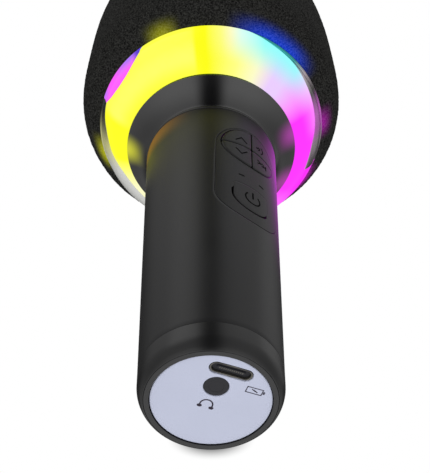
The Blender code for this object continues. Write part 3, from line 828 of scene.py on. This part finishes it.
def make_ports():
    """USB socket shell and tongue with its contacts, and the headphone jack's barrel and spring."""
    middle = (0, 0)
    bore = stadium(middle, USB_LENGTH - 0.9, USB_WIDTH - 0.9, 40)
    section = [(0.3, -8.0), (0.3, -0.24), (0.24, -0.15), (0.1, -0.13), (-0.04, -0.2), (-0.08, -0.35),
               (-0.08, -8.0)]
    shell = lipped_tube(bore, middle, section, in_slot)
    piece("usb_shell_tube", [shell], dark_metal, "microphone", ["usb_shell"], "steel")
    inside = stadium(middle, USB_LENGTH - 1.1, USB_WIDTH - 1.1, 40)
    bed = pad(inside, middle, [(0, -0.9), (0.1, -0.8)], in_slot, depth=4.0)
    piece("usb_socket_bed", [bed], port_grey, "microphone", (), "dark_plastic")
    slim = stadium(middle, 6.6, 0.72, 16)
    tongue = pad(slim, middle, [(0, -0.56), (0.05, -0.48), (0.12, -0.45)], in_slot, depth=5.4)
    piece("usb_tongue_slab", [tongue], port_grey, "microphone", ["usb_tongue"], "dark_plastic")
    contacts = [ribbon(line((x, -0.22), (x, 0.22), 2), 0.2, in_slot, -0.43, 0.5)
                for x in np.linspace(-2.6, 2.6, 12)]
    piece("usb_contacts", contacts, dark_metal, "microphone", (), "nickel")
    jack = to_slot(*JACK_CENTRE)
    ring = arc(jack, JACK_HOLE_R - 0.12, 0, 357.5, 144)
    section = [(0.04, -8.4), (0.04, -0.3), (-0.02, -0.2), (-0.2, -0.16), (-0.98, -0.16), (-1.05, -0.22),
               (-1.05, -8.4)]
    barrel = lipped_tube(ring, jack, section, in_slot)
    piece("aux_jack_barrel", [barrel], port_grey, "microphone", ["aux_jack"], "dark_plastic")
    floor = pad(arc(jack, 1.78, 0, 352.5, 48), jack, [(0, -0.32), (0.1, -0.24)], in_slot, depth=1.0)
    piece("aux_jack_spring", [floor], port_grey, "microphone", (), "dark_plastic")


def make_plate_marks():
    """Printed marks: plain headphones beside the jack, and a battery with a bolt beside the USB slot."""
    heads = in_mark(JACK_SIGN, USB_TURN + math.pi)
    cups = [pad(stadium((side * 1.36, -0.62), 1.15, 0.82, 8), (side * 1.32, -0.62),
                [(0, 0.02), (0.03, 0.03)], heads, (0.5,), depth=0.06) for side in (-1, 1)]
    reach_out = 1.42
    band = closed(line((reach_out, -0.5), (reach_out, 0.1), 3), arc((0, 0.1), reach_out, 0, 180, 25),
                  line((-reach_out, 0.1), (-reach_out, -0.5), 3))
    piece("headphone_mark", [ribbon(band, 0.32, heads), *cups], ink_plum, "microphone")
    cell = in_mark(CHARGING_SIGN, USB_TURN)
    corners = [(-1.9, -0.8), (1.7, -0.8), (1.7, 0.8), (-1.9, 0.8), (-1.9, -0.8)]
    sides = [line(start, stop, 4) for start, stop in zip(corners, corners[1:])]
    body = closed(*sides, line((-1.9, -0.8), (-1.5, -0.8), 2))
    tip = line((2.1, -0.35), (2.1, 0.35), 2)
    bolt = np.array([(-0.75, -0.32), (0.15, 0.12), (-0.2, -0.16), (0.7, 0.32)])
    strokes = [ribbon(path, width, cell) for path, width in ((body, 0.2), (tip, 0.4), (bolt, 0.22))]
    piece("charging_mark", strokes, ink_plum, "microphone")


# ---------------------------------------------------------------- handle, panel and keys
def panel_sides(grow):
    """The panel's outline above and below the line where its two parts meet: an oblong with round ends."""
    half = PANEL_HALF_WIDTH + grow
    top = PANEL_TOP_Z - PANEL_HALF_WIDTH
    foot = PANEL_LOW_Z + PANEL_HALF_WIDTH
    split = PANEL_SPLIT_Z
    upper = [line((half, split), (half, top), 18), arc((0, top), half, 0, 180, 90),
             line((-half, top), (-half, split), 18)]
    lower = [line((-half, split), (-half, foot), 18), arc((0, foot), half, 180, 360, 90),
             line((half, foot), (half, split), 18)]
    return upper, lower


def make_handle():
    """The handle's tube in one grid: up the window's wall, over its edge, across the skin to the tube's own
    unrolled outline (back seam and both ends), over the ends and back along the inside."""
    mean = (HANDLE_LOW_R + HANDLE_TOP_R) / 2
    upper, lower = panel_sides(PANEL_GAP)
    window = closed(*upper, *lower)
    window = np.stack([np.arcsin(window[:, 0] / handle_radius(window[:, 1])) * mean, window[:, 1]], 1)
    edge = math.pi * mean
    outline = closed(line((edge, HANDLE_LOW_Z), (edge, HANDLE_TOP_Z), 72),
                     line((edge, HANDLE_TOP_Z), (-edge, HANDLE_TOP_Z), 192),
                     line((-edge, HANDLE_TOP_Z), (-edge, HANDLE_LOW_Z), 72),
                     line((-edge, HANDLE_LOW_Z), (edge, HANDLE_LOW_Z), 192))
    side = abs(abs(outline[:, 0]) - edge) < SAME_PLACE
    at_top = abs(outline[:, 1] - HANDLE_TOP_Z) < SAME_PLACE
    at_foot = abs(outline[:, 1] - HANDLE_LOW_Z) < SAME_PLACE
    end = at_top | at_foot
    centre = np.array([0.0, WINDOW_MIDDLE_Z])
    opening = reach(window, centre, outline)

    def ended(inset):
        """The outer outline drawn in from both ends by inset."""
        z = np.clip(outline[:, 1], HANDLE_LOW_Z + inset, HANDLE_TOP_Z - inset)
        return np.stack([outline[:, 0], z], 1)

    def lay(points, lift):
        """Unrolled points on the handle, raised by lift."""
        return on_handle(points[:, 0] / mean, points[:, 1], np.broadcast_to(lift, len(points)))

    rows = [lay(moved(opening, centre, offset), lift)
            for offset, lift in ((0, -WALL), (0, -0.16), (0.05, -0.05), (0.16, 0.0))]
    start = moved(opening, centre, 0.16)
    stop = ended(0.08)
    for share in np.linspace(0, 1, 34)[1:] ** 1.25:
        rows.append(lay(start + (stop - start) * share, 0.0))
    skin_rows = len(rows)
    for inset, lift in ((0.025, -0.025), (0.0, -0.08), (0.0, -WALL)):
        rim = ended(inset)
        rim[~end] = stop[~end]
        rows.append(lay(rim, np.where(end, lift, 0.0 if lift > -WALL else -WALL)))
    outer_rows = len(rows)
    inside = ended(0.0)
    inside[~end] = stop[~end]
    for share in np.linspace(1, 0, 26)[1:-1]:
        rows.append(lay(opening + (inside - opening) * share, -WALL))
    skip = np.zeros((len(rows), len(outline)), bool)
    skip[skin_rows - 1:outer_rows - 1] = (side & np.roll(side, -1))[None, :]
    piece("handle_skin", [grid(np.array(rows), close_rows=True, skip=skip)], satin_black, "microphone",
          ["handle_tube"], "satin_black", 50)


def flap_outline(grow=0.0):
    """The power flap: a half round below, straight sides and a flat top with small corners."""
    radius = POWER_R + grow
    top = POWER_TOP_Z + grow
    corner = 0.8
    return closed(arc((0, POWER_Z), radius, 180, 360, 90),
                  line((radius, POWER_Z), (radius, top - corner), 14),
                  arc((radius - corner, top - corner), corner, 0, 90, 8),
                  line((radius - corner, top), (corner - radius, top), 20),
                  arc((corner - radius, top - corner), corner, 90, 180, 8),
                  line((-radius, top - corner), (-radius, POWER_Z), 14))


FLAP_CENTRE = np.array([0.0, POWER_Z + 1.2])


def make_panel():
    """The button panel: two parts ruled from the key well and from the flap's opening out to its edge. The
    flap's slit is wide round its lower half and closes to a hairline above. Both openings widen below the
    skin, so that the keys and the flap clear them when pressed."""
    upper, lower = panel_sides(0.0)
    half = PANEL_HALF_WIDTH
    parting = line((-half, PANEL_SPLIT_Z), (half, PANEL_SPLIT_Z), 60)
    edge = [(0.6, -2.2), (0.6, -0.75), (0, -0.05), (0.02, -0.01), (0.05, 0)]
    rim = [(0.04, 0), (0.015, -0.006), (0, -0.03), (0, -PANEL_THICK)]
    well = arc((0, CLUSTER_Z), CLUSTER_R + KEY_GAP, 0, 359, 240)
    flap = flap_outline()
    below = flap - np.array([0, POWER_Z])
    angle = np.degrees(np.arctan2(below[:, 1], below[:, 0]))
    offset = (angle + 115 + 180) % 360 - 180
    open_share = smooth(-np.abs(offset), -92, -78)
    slit = moved(flap, FLAP_CENTRE, 0.004 + (POWER_SLIT + 0.1) * open_share)
    parts = []
    for sides, hole, centre in ((closed(*upper, parting), well, (0, CLUSTER_Z)),
                                (closed(*lower, parting[::-1]), slit, FLAP_CENTRE)):
        shared = abs(sides[:, 1] - PANEL_SPLIT_Z) < SAME_PLACE
        parts.append(holed(hole, centre, sides, shared, edge, rim, on_skin, 14))
    piece("button_panel_face", parts, panel_black, "microphone", ["button_panel"], "key_black", 50)


def key_outline(right, upper):
    """A quarter of the round cluster: from the key's middle, the distance each way is the least of those to
    its two straight sides and to the circle, blended by a power mean so that the corners are round."""
    turn = np.radians(np.arange(0, 360, 2.5))
    reach_s, reach_z = np.cos(turn), np.sin(turn)
    middle = np.array([right, upper]) * CLUSTER_R * 0.43
    inner = KEY_GAP / 2
    to_side = (abs(middle[0]) - inner) / np.maximum(-right * reach_s, 1e-4)
    to_other = (abs(middle[1]) - inner) / np.maximum(-upper * reach_z, 1e-4)
    along = middle[0] * reach_s + middle[1] * reach_z
    to_circle = -along + np.sqrt(along ** 2 + CLUSTER_R ** 2 - (middle ** 2).sum())
    power = 22
    length = (to_side ** -power + to_other ** -power + to_circle ** -power) ** (-1 / power)
    outline = middle[:, None] + length * np.array([reach_s, reach_z])
    return (outline + np.array([[0], [CLUSTER_Z]])).T, middle + np.array([0, CLUSTER_Z])


KEY_EDGE = [(0, KEY_PROUD - 0.16), (0.05, KEY_PROUD - 0.05), (0.16, KEY_PROUD)]


def make_keys():
    """Four quarter keys and their raised line marks: two chevrons, an echo sign and a next-track sign."""
    face = KEY_PROUD + 0.03

    def mark(path, width=0.36):
        """A line raised from a key's face."""
        return ribbon(path, width, lambda points, lift: on_skin(points, lift + face))

    chevron = np.array([(-1.7, -1.0), (0.0, 0.95), (1.7, -1.0)])
    echo = (2.2, 85.4)
    marks = {
        "volume_up": [mark(chevron + (-3.3, 84.9))],
        "volume_down": [mark(chevron * (1, -1) + (-3.3, 78.7))],
        "echo": [mark(arc(echo, 0.9, -60, 60, 9) - (0.2, 0)), mark(arc(echo, 2.0, -50, 50, 11)),
                 mark(line((1.7, 85.4), (2.3, 85.4), 2), 0.6)],
        "track": [mark(np.array([(2.0, 79.3), (3.3, 78.5), (2.0, 77.7)])),
                  mark(np.array([(3.6, 79.3), (4.9, 78.5), (3.6, 77.7)])),
                  mark(line((5.3, 79.4), (5.3, 77.6), 2))],
    }
    quarters = {"volume_up": (-1, 1), "volume_down": (-1, -1), "echo": (1, 1), "track": (1, -1)}
    for body, (right, upper) in quarters.items():
        outline, middle = key_outline(right, upper)
        cap = pad(outline, middle, KEY_EDGE, on_skin, (0.15, 0.3, 0.5, 0.7, 0.85), 0.03)
        piece(body + "_cap", [cap], key_black, body, [body + "_key"], "key_black", 50)
        piece(body + "_mark", marks[body], ink_black, body)


def make_flap():
    """The power flap with its sign: an open ring and a bar."""
    flap = pad(flap_outline(), FLAP_CENTRE, [(0, -0.03), (0.015, -0.006), (0.04, 0)], on_skin,
               (0.15, 0.3, 0.5, 0.7, 0.85), 0.0)
    piece("power_flap", [flap], panel_black, "power", ["power_key"], "key_black", 50)
    ring = arc((0.1, 58.8), 2.3, 135, 405, 40)
    bar = line((0.1, 58.7), (0.1, 61.4), 3)
    sign = [ribbon(ring, 0.42, on_skin), ribbon(bar, 0.46, on_skin)]
    piece("power_mark", sign, ink_black, "power")


def make_status_lights():
    """Two small clear pipes flush in the panel."""
    for side, name in ((-1, "left"), (1, "right")):
        centre = (side * LIGHT_PIPE_OFFSET, LIGHT_PIPE_Z)
        outline = stadium(centre, 1.8, 0.55, 8)
        dash = pad(outline, centre, [(0, 0.01), (0.03, 0.03)], on_skin, (0.5,), depth=2.0)
        piece("status_light_pipe_" + name, [dash], pipe_clear, "microphone", ["status_light_" + name],
              "pipe")


# ---------------------------------------------------------------- seam ring, collar and light ring
def make_seam():
    """The seam ring is a turned band with round corners."""
    inner = SEAM_R - 1.7
    corners = [(SEAM_R, SEAM_LOW_Z), (SEAM_R, SEAM_TOP_Z), (inner, SEAM_TOP_Z), (inner, SEAM_LOW_Z)]
    band = turned(rounded(corners, [0.25, 0.25, 0.2, 0.2]))
    piece("seam_ring_band", [band], seam_finish, "microphone", ["seam_ring"], "seam_metal")


def bowed(start, stop, bulge, count):
    """A line bowed to its right by a parabola of that height."""
    start, stop = np.array(start), np.array(stop)
    share = np.linspace(0, 1, count)[:, None]
    run = stop - start
    side = np.array([run[1], -run[0]]) / np.linalg.norm(run)
    return start + run * share + side * bulge * 4 * share * (1 - share)


def make_collar():
    """The flared collar is a turned skirt, slightly hollow on its outside."""
    foot = (SEAM_R, COLLAR_LOW_Z + 0.2)
    lip = (COLLAR_TOP_R, COLLAR_TOP_Z - 0.25)
    outer = bowed(foot, lip, -COLLAR_HOLLOW, 20)
    inner = bowed((lip[0] - 1.9, COLLAR_TOP_Z), (foot[0] - 1.6, COLLAR_LOW_Z), COLLAR_HOLLOW, 8)
    edge = np.array([(lip[0] - 0.04, COLLAR_TOP_Z - 0.08), (lip[0] - 0.2, COLLAR_TOP_Z)])
    profile = np.concatenate([outer, edge, inner, [(foot[0] - 0.2, COLLAR_LOW_Z)]])
    piece("collar_skirt", [turned(profile)], collar_black, "microphone", ["collar"], "satin_black", 50)


def ring_profile():
    """The light ring's outer line from collar to foam: a bulged slope, a round shoulder, a short wall."""
    shoulder = (LIGHT_TOP_R - 0.5, LIGHT_TOP_Z - LIGHT_WALL_Z - 0.5)
    slope = bowed((LIGHT_LOW_R, LIGHT_LOW_Z), shoulder, LIGHT_BULGE, 60)
    turn = np.linspace(0, 1, 9)[1:, None]
    corner = np.array([LIGHT_TOP_R, shoulder[1] + 0.2])
    end = np.array([LIGHT_TOP_R, LIGHT_TOP_Z - 0.3])
    bend = (1 - turn) ** 2 * np.array(shoulder) + 2 * turn * (1 - turn) * corner + turn ** 2 * end
    return np.concatenate([slope, bend])


RING_LINE = ring_profile()
RING_RUN = np.concatenate([[0], np.cumsum(np.linalg.norm(np.diff(RING_LINE, axis=0), axis=1))])
RING_LENGTH = RING_RUN[-1]
RING_SLOPE = np.gradient(RING_LINE, RING_RUN, axis=0)


def on_ring(distance, azimuth, lift):
    """Distance along the ring's line from the collar, and azimuth, as a point raised square to the ring."""
    radius, height = [np.interp(distance, RING_RUN, values) for values in RING_LINE.T]
    outward, upward = [np.interp(distance, RING_RUN, values) for values in RING_SLOPE.T]
    return around(radius + lift * upward, azimuth, height - lift * outward)


def make_light_ring():
    """The diffuser is the ring's line turned, closed by a flat seat and a thin inner wall."""
    seat = [(LIGHT_TOP_R - 0.3, LIGHT_TOP_Z), (LIGHT_TOP_R - 2.6, LIGHT_TOP_Z)]
    inner = [(LIGHT_TOP_R - 3.4, LIGHT_TOP_Z - 1.6)]
    start = (LIGHT_TOP_R - 4.0, LIGHT_TOP_Z - 2.4)
    stop = (LIGHT_LOW_R - 0.6, LIGHT_LOW_Z + 1.2)
    profile = np.concatenate([RING_LINE, seat, inner, bowed(start, stop, -LIGHT_BULGE, 14)])
    piece("light_ring_diffuser", [turned(profile, 360)], lit_diffuser, "microphone", ["light_ring"], "milky",
          60)


def ring_overlay(knots, proud):
    """A thin shell on the ring's outer part between the first and last of its knots (azimuth, width), which
    say how far it reaches in from the foam. Its inner edge is rolled down into the ring, and it thins where
    it narrows to a point."""
    turn = np.linspace(knots[0][0], knots[-1][0], 150)
    azimuth = np.radians(turn)
    wide = np.clip(through(knots, turn), 0.01, RING_LENGTH)
    thin = np.minimum(1, wide / 0.8)
    rows = [on_ring(RING_LENGTH + 0 * wide, azimuth, lift) for lift in (-OVERLAY_SINK, 0)]
    for share in np.linspace(0.02, 1, 24)[:-1]:
        rows.append(on_ring(RING_LENGTH - wide * share, azimuth, proud * thin))
    for inset, lift in ((0.1, proud), (0.03, proud * 0.7), (0.0, 0.0), (0.0, -OVERLAY_SINK)):
        rows.append(on_ring(RING_LENGTH - np.maximum(wide - inset, 0), azimuth, lift * thin))
    return capped(np.array(rows).transpose(1, 0, 2))


def through(knots, at):
    """A smooth curve through (place, size) knots: cubic between two, with the slope of their neighbours."""
    places, sizes = np.array(knots, float).T
    slopes = np.gradient(sizes, places)
    first = np.clip(np.searchsorted(places, at) - 1, 0, len(places) - 2)
    span = places[first + 1] - places[first]
    t = np.clip((at - places[first]) / span, 0, 1)
    return ((1 + 2 * t) * (1 - t) ** 2 * sizes[first] + t ** 2 * (3 - 2 * t) * sizes[first + 1]
            + t * (1 - t) ** 2 * span * slopes[first] - t ** 2 * (1 - t) * span * slopes[first + 1])


SWEEP_RIGHT = [(19, 0), (28, 0.9), (38, 1.5), (48, 2.3), (56, 3.7), (66, 5.2), (76, 6.9), (82, 8.0),
               (90, 9.6), (99, 10.3), (107, 10.5)]
SWEEP_LEFT = [(-172, 0), (-160, 6), (-144, 13.0), (-120, 14.2), (-108, 13.0), (-96, 10.2), (-84, 7.6),
              (-76, 4.6), (-71, 3.4)]
LENS_LEFT = [(-71, 3.4), (-66, 5.2), (-60, 6.1), (-54, 6.2), (-48, 5.4), (-42, 3.2), (-38, 1.0), (-36, 0)]
LENS_RIGHT = [(107, 10.3), (116, 10.0), (130, 8.2), (144, 5.0), (152, 0)]


def make_trim():
    """Two bright sweeps that widen from a point along the ring's edge, and two lit windows, slim lenses."""
    for name, knots, proud, finish, stands_for, slot in (
            ("bright_sweep_right", SWEEP_RIGHT, 0.1, bright_trim, ["trim_ring"], "chrome"),
            ("bright_sweep_left", SWEEP_LEFT, 0.1, bright_trim, [], "chrome"),
            ("accent_lens_left", LENS_LEFT, 0.08, lit_window, ["accent_window_left"], "accent"),
            ("accent_lens_right", LENS_RIGHT, 0.08, lit_window, ["accent_window_right"], "accent")):
        piece(name, [ring_overlay(knots, proud)], finish, "microphone", stands_for, slot, 60)


# ---------------------------------------------------------------- foam head
def head_radius(z):
    """Egg shape: a flat power curve from the ring up to the widest height, and a power oval above it."""
    below = np.clip((z - HEAD_LOW_Z) / (HEAD_WIDE_Z - HEAD_LOW_Z), 0, 1)
    above = np.clip((z - HEAD_WIDE_Z) / (HEAD_TOP_Z - HEAD_WIDE_Z), 0, 1)
    lower = HEAD_WIDE_R - (HEAD_WIDE_R - LIGHT_TOP_R) * (1 - below) ** HEAD_LOW_POWER
    upper = HEAD_WIDE_R * np.sqrt(1 - above ** HEAD_TOP_POWER)
    return np.where(z < HEAD_WIDE_Z, lower, upper)


def head_line(count):
    """Heights and radii of the head's outline, spaced evenly along it."""
    turn = np.linspace(0, 1, 4000)
    z = HEAD_LOW_Z + (HEAD_TOP_Z - HEAD_LOW_Z) * np.sin(turn * math.pi / 2)
    radius = head_radius(z)
    run = np.concatenate([[0], np.cumsum(np.hypot(np.diff(z), np.diff(radius)))])
    even = np.linspace(0, run[-1], count)
    return np.interp(even, run, z), np.interp(even, run, radius)


def make_foam_head():
    """The foam cover: the egg turned, its skin pitted by scattered cells and slow swells, closed inside."""
    columns, count = 420, 210
    z, radius = head_line(count)
    radius[-1] = 0
    azimuth = np.linspace(0, 2 * math.pi, columns, endpoint=False)[None, :]
    scatter = np.random.default_rng(11).normal(0, 1, (count, columns))
    swell = np.sin(azimuth * 5 + z[:, None] / 9) * 0.5 + np.sin(azimuth * 3 - z[:, None] / 13 + 1.7) * 0.5
    lift = -0.16 + 0.045 * np.clip(scatter, -2.5, 2.5) + 0.06 * swell
    lift *= smooth(np.arange(count), 0, 3)[:, None]
    lift[-1] = lift[-1].mean()
    rise = np.gradient(z)
    run = np.gradient(radius)
    size = np.hypot(rise, run)
    out = radius[:, None] + lift * (rise / size)[:, None]
    out[-1] = 0
    height = z[:, None] - lift * (run / size)[:, None]
    outer = around(out, azimuth, height)
    in_z, in_r = head_line(40)
    in_r = np.maximum(in_r - FOAM_WALL, 0)
    in_z = np.minimum(in_z, HEAD_TOP_Z - FOAM_WALL)
    in_r[-1] = 0
    in_z[0] = HEAD_LOW_Z
    inner = around(in_r[:, None], azimuth, in_z[:, None])
    cover = grid(np.concatenate([inner[::-1], outer]))
    head = piece("head_foam_cover", [cover], head_foam_finish, "microphone", ["head_foam"], "foam", 180)


# ---------------------------------------------------------------- carried-over nodes
INSIDE = {
    board_green: ["port_board", "main_board", "led_board"],
    steel: ["port_screw_1", "port_screw_2", "board_screw_1", "board_screw_2", "speaker_basket",
            *(f"speaker_screw_{n}" for n in range(1, 5))],
    dark_plastic: ["chassis", "head_base", "capsule_bridge", "speaker_baffle", "volume_up_switch",
                   "volume_down_switch", "echo_switch", "track_switch", "power_switch"],
    sleeve: ["battery_cell"],
    nickel: ["battery_tab_low", "battery_tab_high", "microphone_capsule"],
    led_package: [f"led_{n}" for n in range(1, 7)],
    ferrite: ["speaker_magnet"],
    metal("coil_copper", tint(196, 120, 80), 0.3): ["voice_coil"],
    cone_paper: ["speaker_cone", "dust_cap"],
    rubber: ["speaker_surround", "capsule_mount"],
    cage_metal: ["head_cage"],
}


def dress_inside():
    """Gives every CAD node that stays its procedural finish."""
    for finish, nodes in INSIDE.items():
        for node in nodes:
            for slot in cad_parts[node].material_slots:
                slot.material = finish


# ---------------------------------------------------------------- stage
def aim(obj, place, target):
    """Puts a light at place and turns it towards target, both in metres."""
    obj.location = place
    direction = np.array(target) - np.array(place)
    turn = math.atan2(direction[0], -direction[1])
    tilt = math.atan2(math.hypot(direction[0], direction[1]), -direction[2])
    obj.rotation_euler = (tilt, 0, math.pi + turn)


def stage_plane(name, corners, finish, hidden_from):
    """A flat stage object with its finish on its front only. Its back is clear, and it is hidden from the
    kinds of ray named."""
    mesh = bpy.data.meshes.new(name)
    mesh.from_pydata(np.array(corners, float) * MM, [], [(0, 1, 2, 3)])
    plane = bpy.data.objects.new(name, mesh)
    bpy.context.scene.collection.objects.link(plane)
    back = finish.node("ShaderNodeNewGeometry").outputs["Backfacing"]
    finish.output(finish.blend(back, finish.shader, finish.node("ShaderNodeBsdfTransparent")))
    mesh.materials.append(finish.material)
    for kind in hidden_from:
        setattr(plane, "visible_" + kind, False)


def make_floor():
    """A pale floor just below the microphone, seen only from above."""
    half = 4000
    level = -0.2
    corners = [(-half, -half, level), (half, -half, level), (half, half, level), (-half, half, level)]
    pale = Finish("floor_pale", Base_Color=(0.9, 0.9, 0.9, 1), Roughness=0.8)
    pale.set(Emission_Color=WHITE, Emission_Strength=0.36)
    stage_plane("floor", corners, pale, ("diffuse", "glossy", "shadow"))


def make_shade_card():
    """A card behind the base, seen only by the camera and only from below. It is white but for a soft oval
    shade on it at the back of the rim."""
    level = 4
    corners = [(-70, 90, level), (70, 90, level), (70, 0, level), (-70, 0, level)]
    shade = Finish("shade_card", Base_Color=BLACK, Roughness=1.0, Specular_IOR_Level=0.0)
    x, y = shade.axes()[:2]
    spread = ((x * 0.7) ** 2.0 + (y - 15.6) ** 2.0).math("SQRT")
    shade.glow(shade.mix(spread.between(1.7, 7.4, 0.08, 1.0), BLACK, WHITE))
    stage_plane("shade_card", corners, shade, ("diffuse", "glossy", "transmission", "shadow"))


SKY_BRIGHT = 1.7


def make_surround():
    """White to the camera. To the shells it is a bright room, brightest from below, with a dark strip in
    front and a dark upper back."""
    world = bpy.data.worlds.new("studio")
    bpy.context.scene.world = world
    world.use_nodes = True
    studio = Nodes(world.node_tree)
    x, y, z = studio.split(studio.node("ShaderNodeTexCoord").outputs["Generated"])
    azimuth = abs(x.math("ARCTAN2", y * -1.0)) * (180 / math.pi)
    front = azimuth.between(6.0, 22.0, 0.0, 0.95) * azimuth.between(45.0, 100.0, 1.0, 0.6)
    behind = 1.0 - y.between(0.0, 0.5) * z.between(0.15, 0.5) * 0.88
    level = front * behind * z.between(-0.6, 0.1, 1.0, 0.56)
    dark = studio.node("ShaderNodeBackground", {}, {"Strength": 0.0})
    bright = studio.node("ShaderNodeBackground", {}, {"Strength": SKY_BRIGHT})
    backdrop = studio.node("ShaderNodeBackground", {}, {"Color": WHITE, "Strength": 1.0})
    seen = studio.node("ShaderNodeLightPath").outputs["Is Camera Ray"]
    studio.output(studio.blend(seen, studio.blend(level, dark, bright), backdrop), "World Output")


LAMP_TARGET = (0, 0, 0.11)
LAMPS = {
    "soft_key": ((-0.7, -0.8, 0.9), 0.9, 1.0),
    "soft_fill": ((0.9, 0.3, 0.8), 0.9, 0.5),
    "soft_top": ((0.0, 0.0, 1.7), 0.5, 12.0),
}


def make_lamps():
    """Round soft lights, each with its place and width in metres and its power."""
    for name, (place, width, power) in LAMPS.items():
        lamp = bpy.data.lights.new(name, "AREA")
        lamp.shape = "DISK"
        lamp.size = width
        lamp.energy = power
        holder = bpy.data.objects.new(name, lamp)
        bpy.context.scene.collection.objects.link(holder)
        aim(holder, place, LAMP_TARGET)


CAMERA_PLACE = (0, -0.15464, -0.15711)
CAMERA_TILT = math.radians(143.52)


def make_camera():
    """A long lens below and in front of the microphone, looking up past its base."""
    camera = bpy.data.cameras.new("camera")
    camera.lens = 76.5
    camera.sensor_width = 36.0
    camera.shift_x = 0.0083
    camera.shift_y = 0.0497
    camera.clip_start = 0.01
    holder = bpy.data.objects.new("camera", camera)
    holder.location = CAMERA_PLACE
    holder.rotation_euler = (CAMERA_TILT, 0, 0)
    bpy.context.scene.collection.objects.link(holder)
    bpy.context.scene.camera = holder
    bpy.context.scene.view_settings.view_transform = "Standard"


make_camera()
make_floor()
make_shade_card()
make_surround()
make_lamps()
make_cap()
make_plate()
make_ports()
make_plate_marks()
make_handle()
make_panel()
make_keys()
make_flap()
make_status_lights()
make_seam()
make_collar()
make_light_ring()
make_trim()
make_foam_head()
dress_inside()
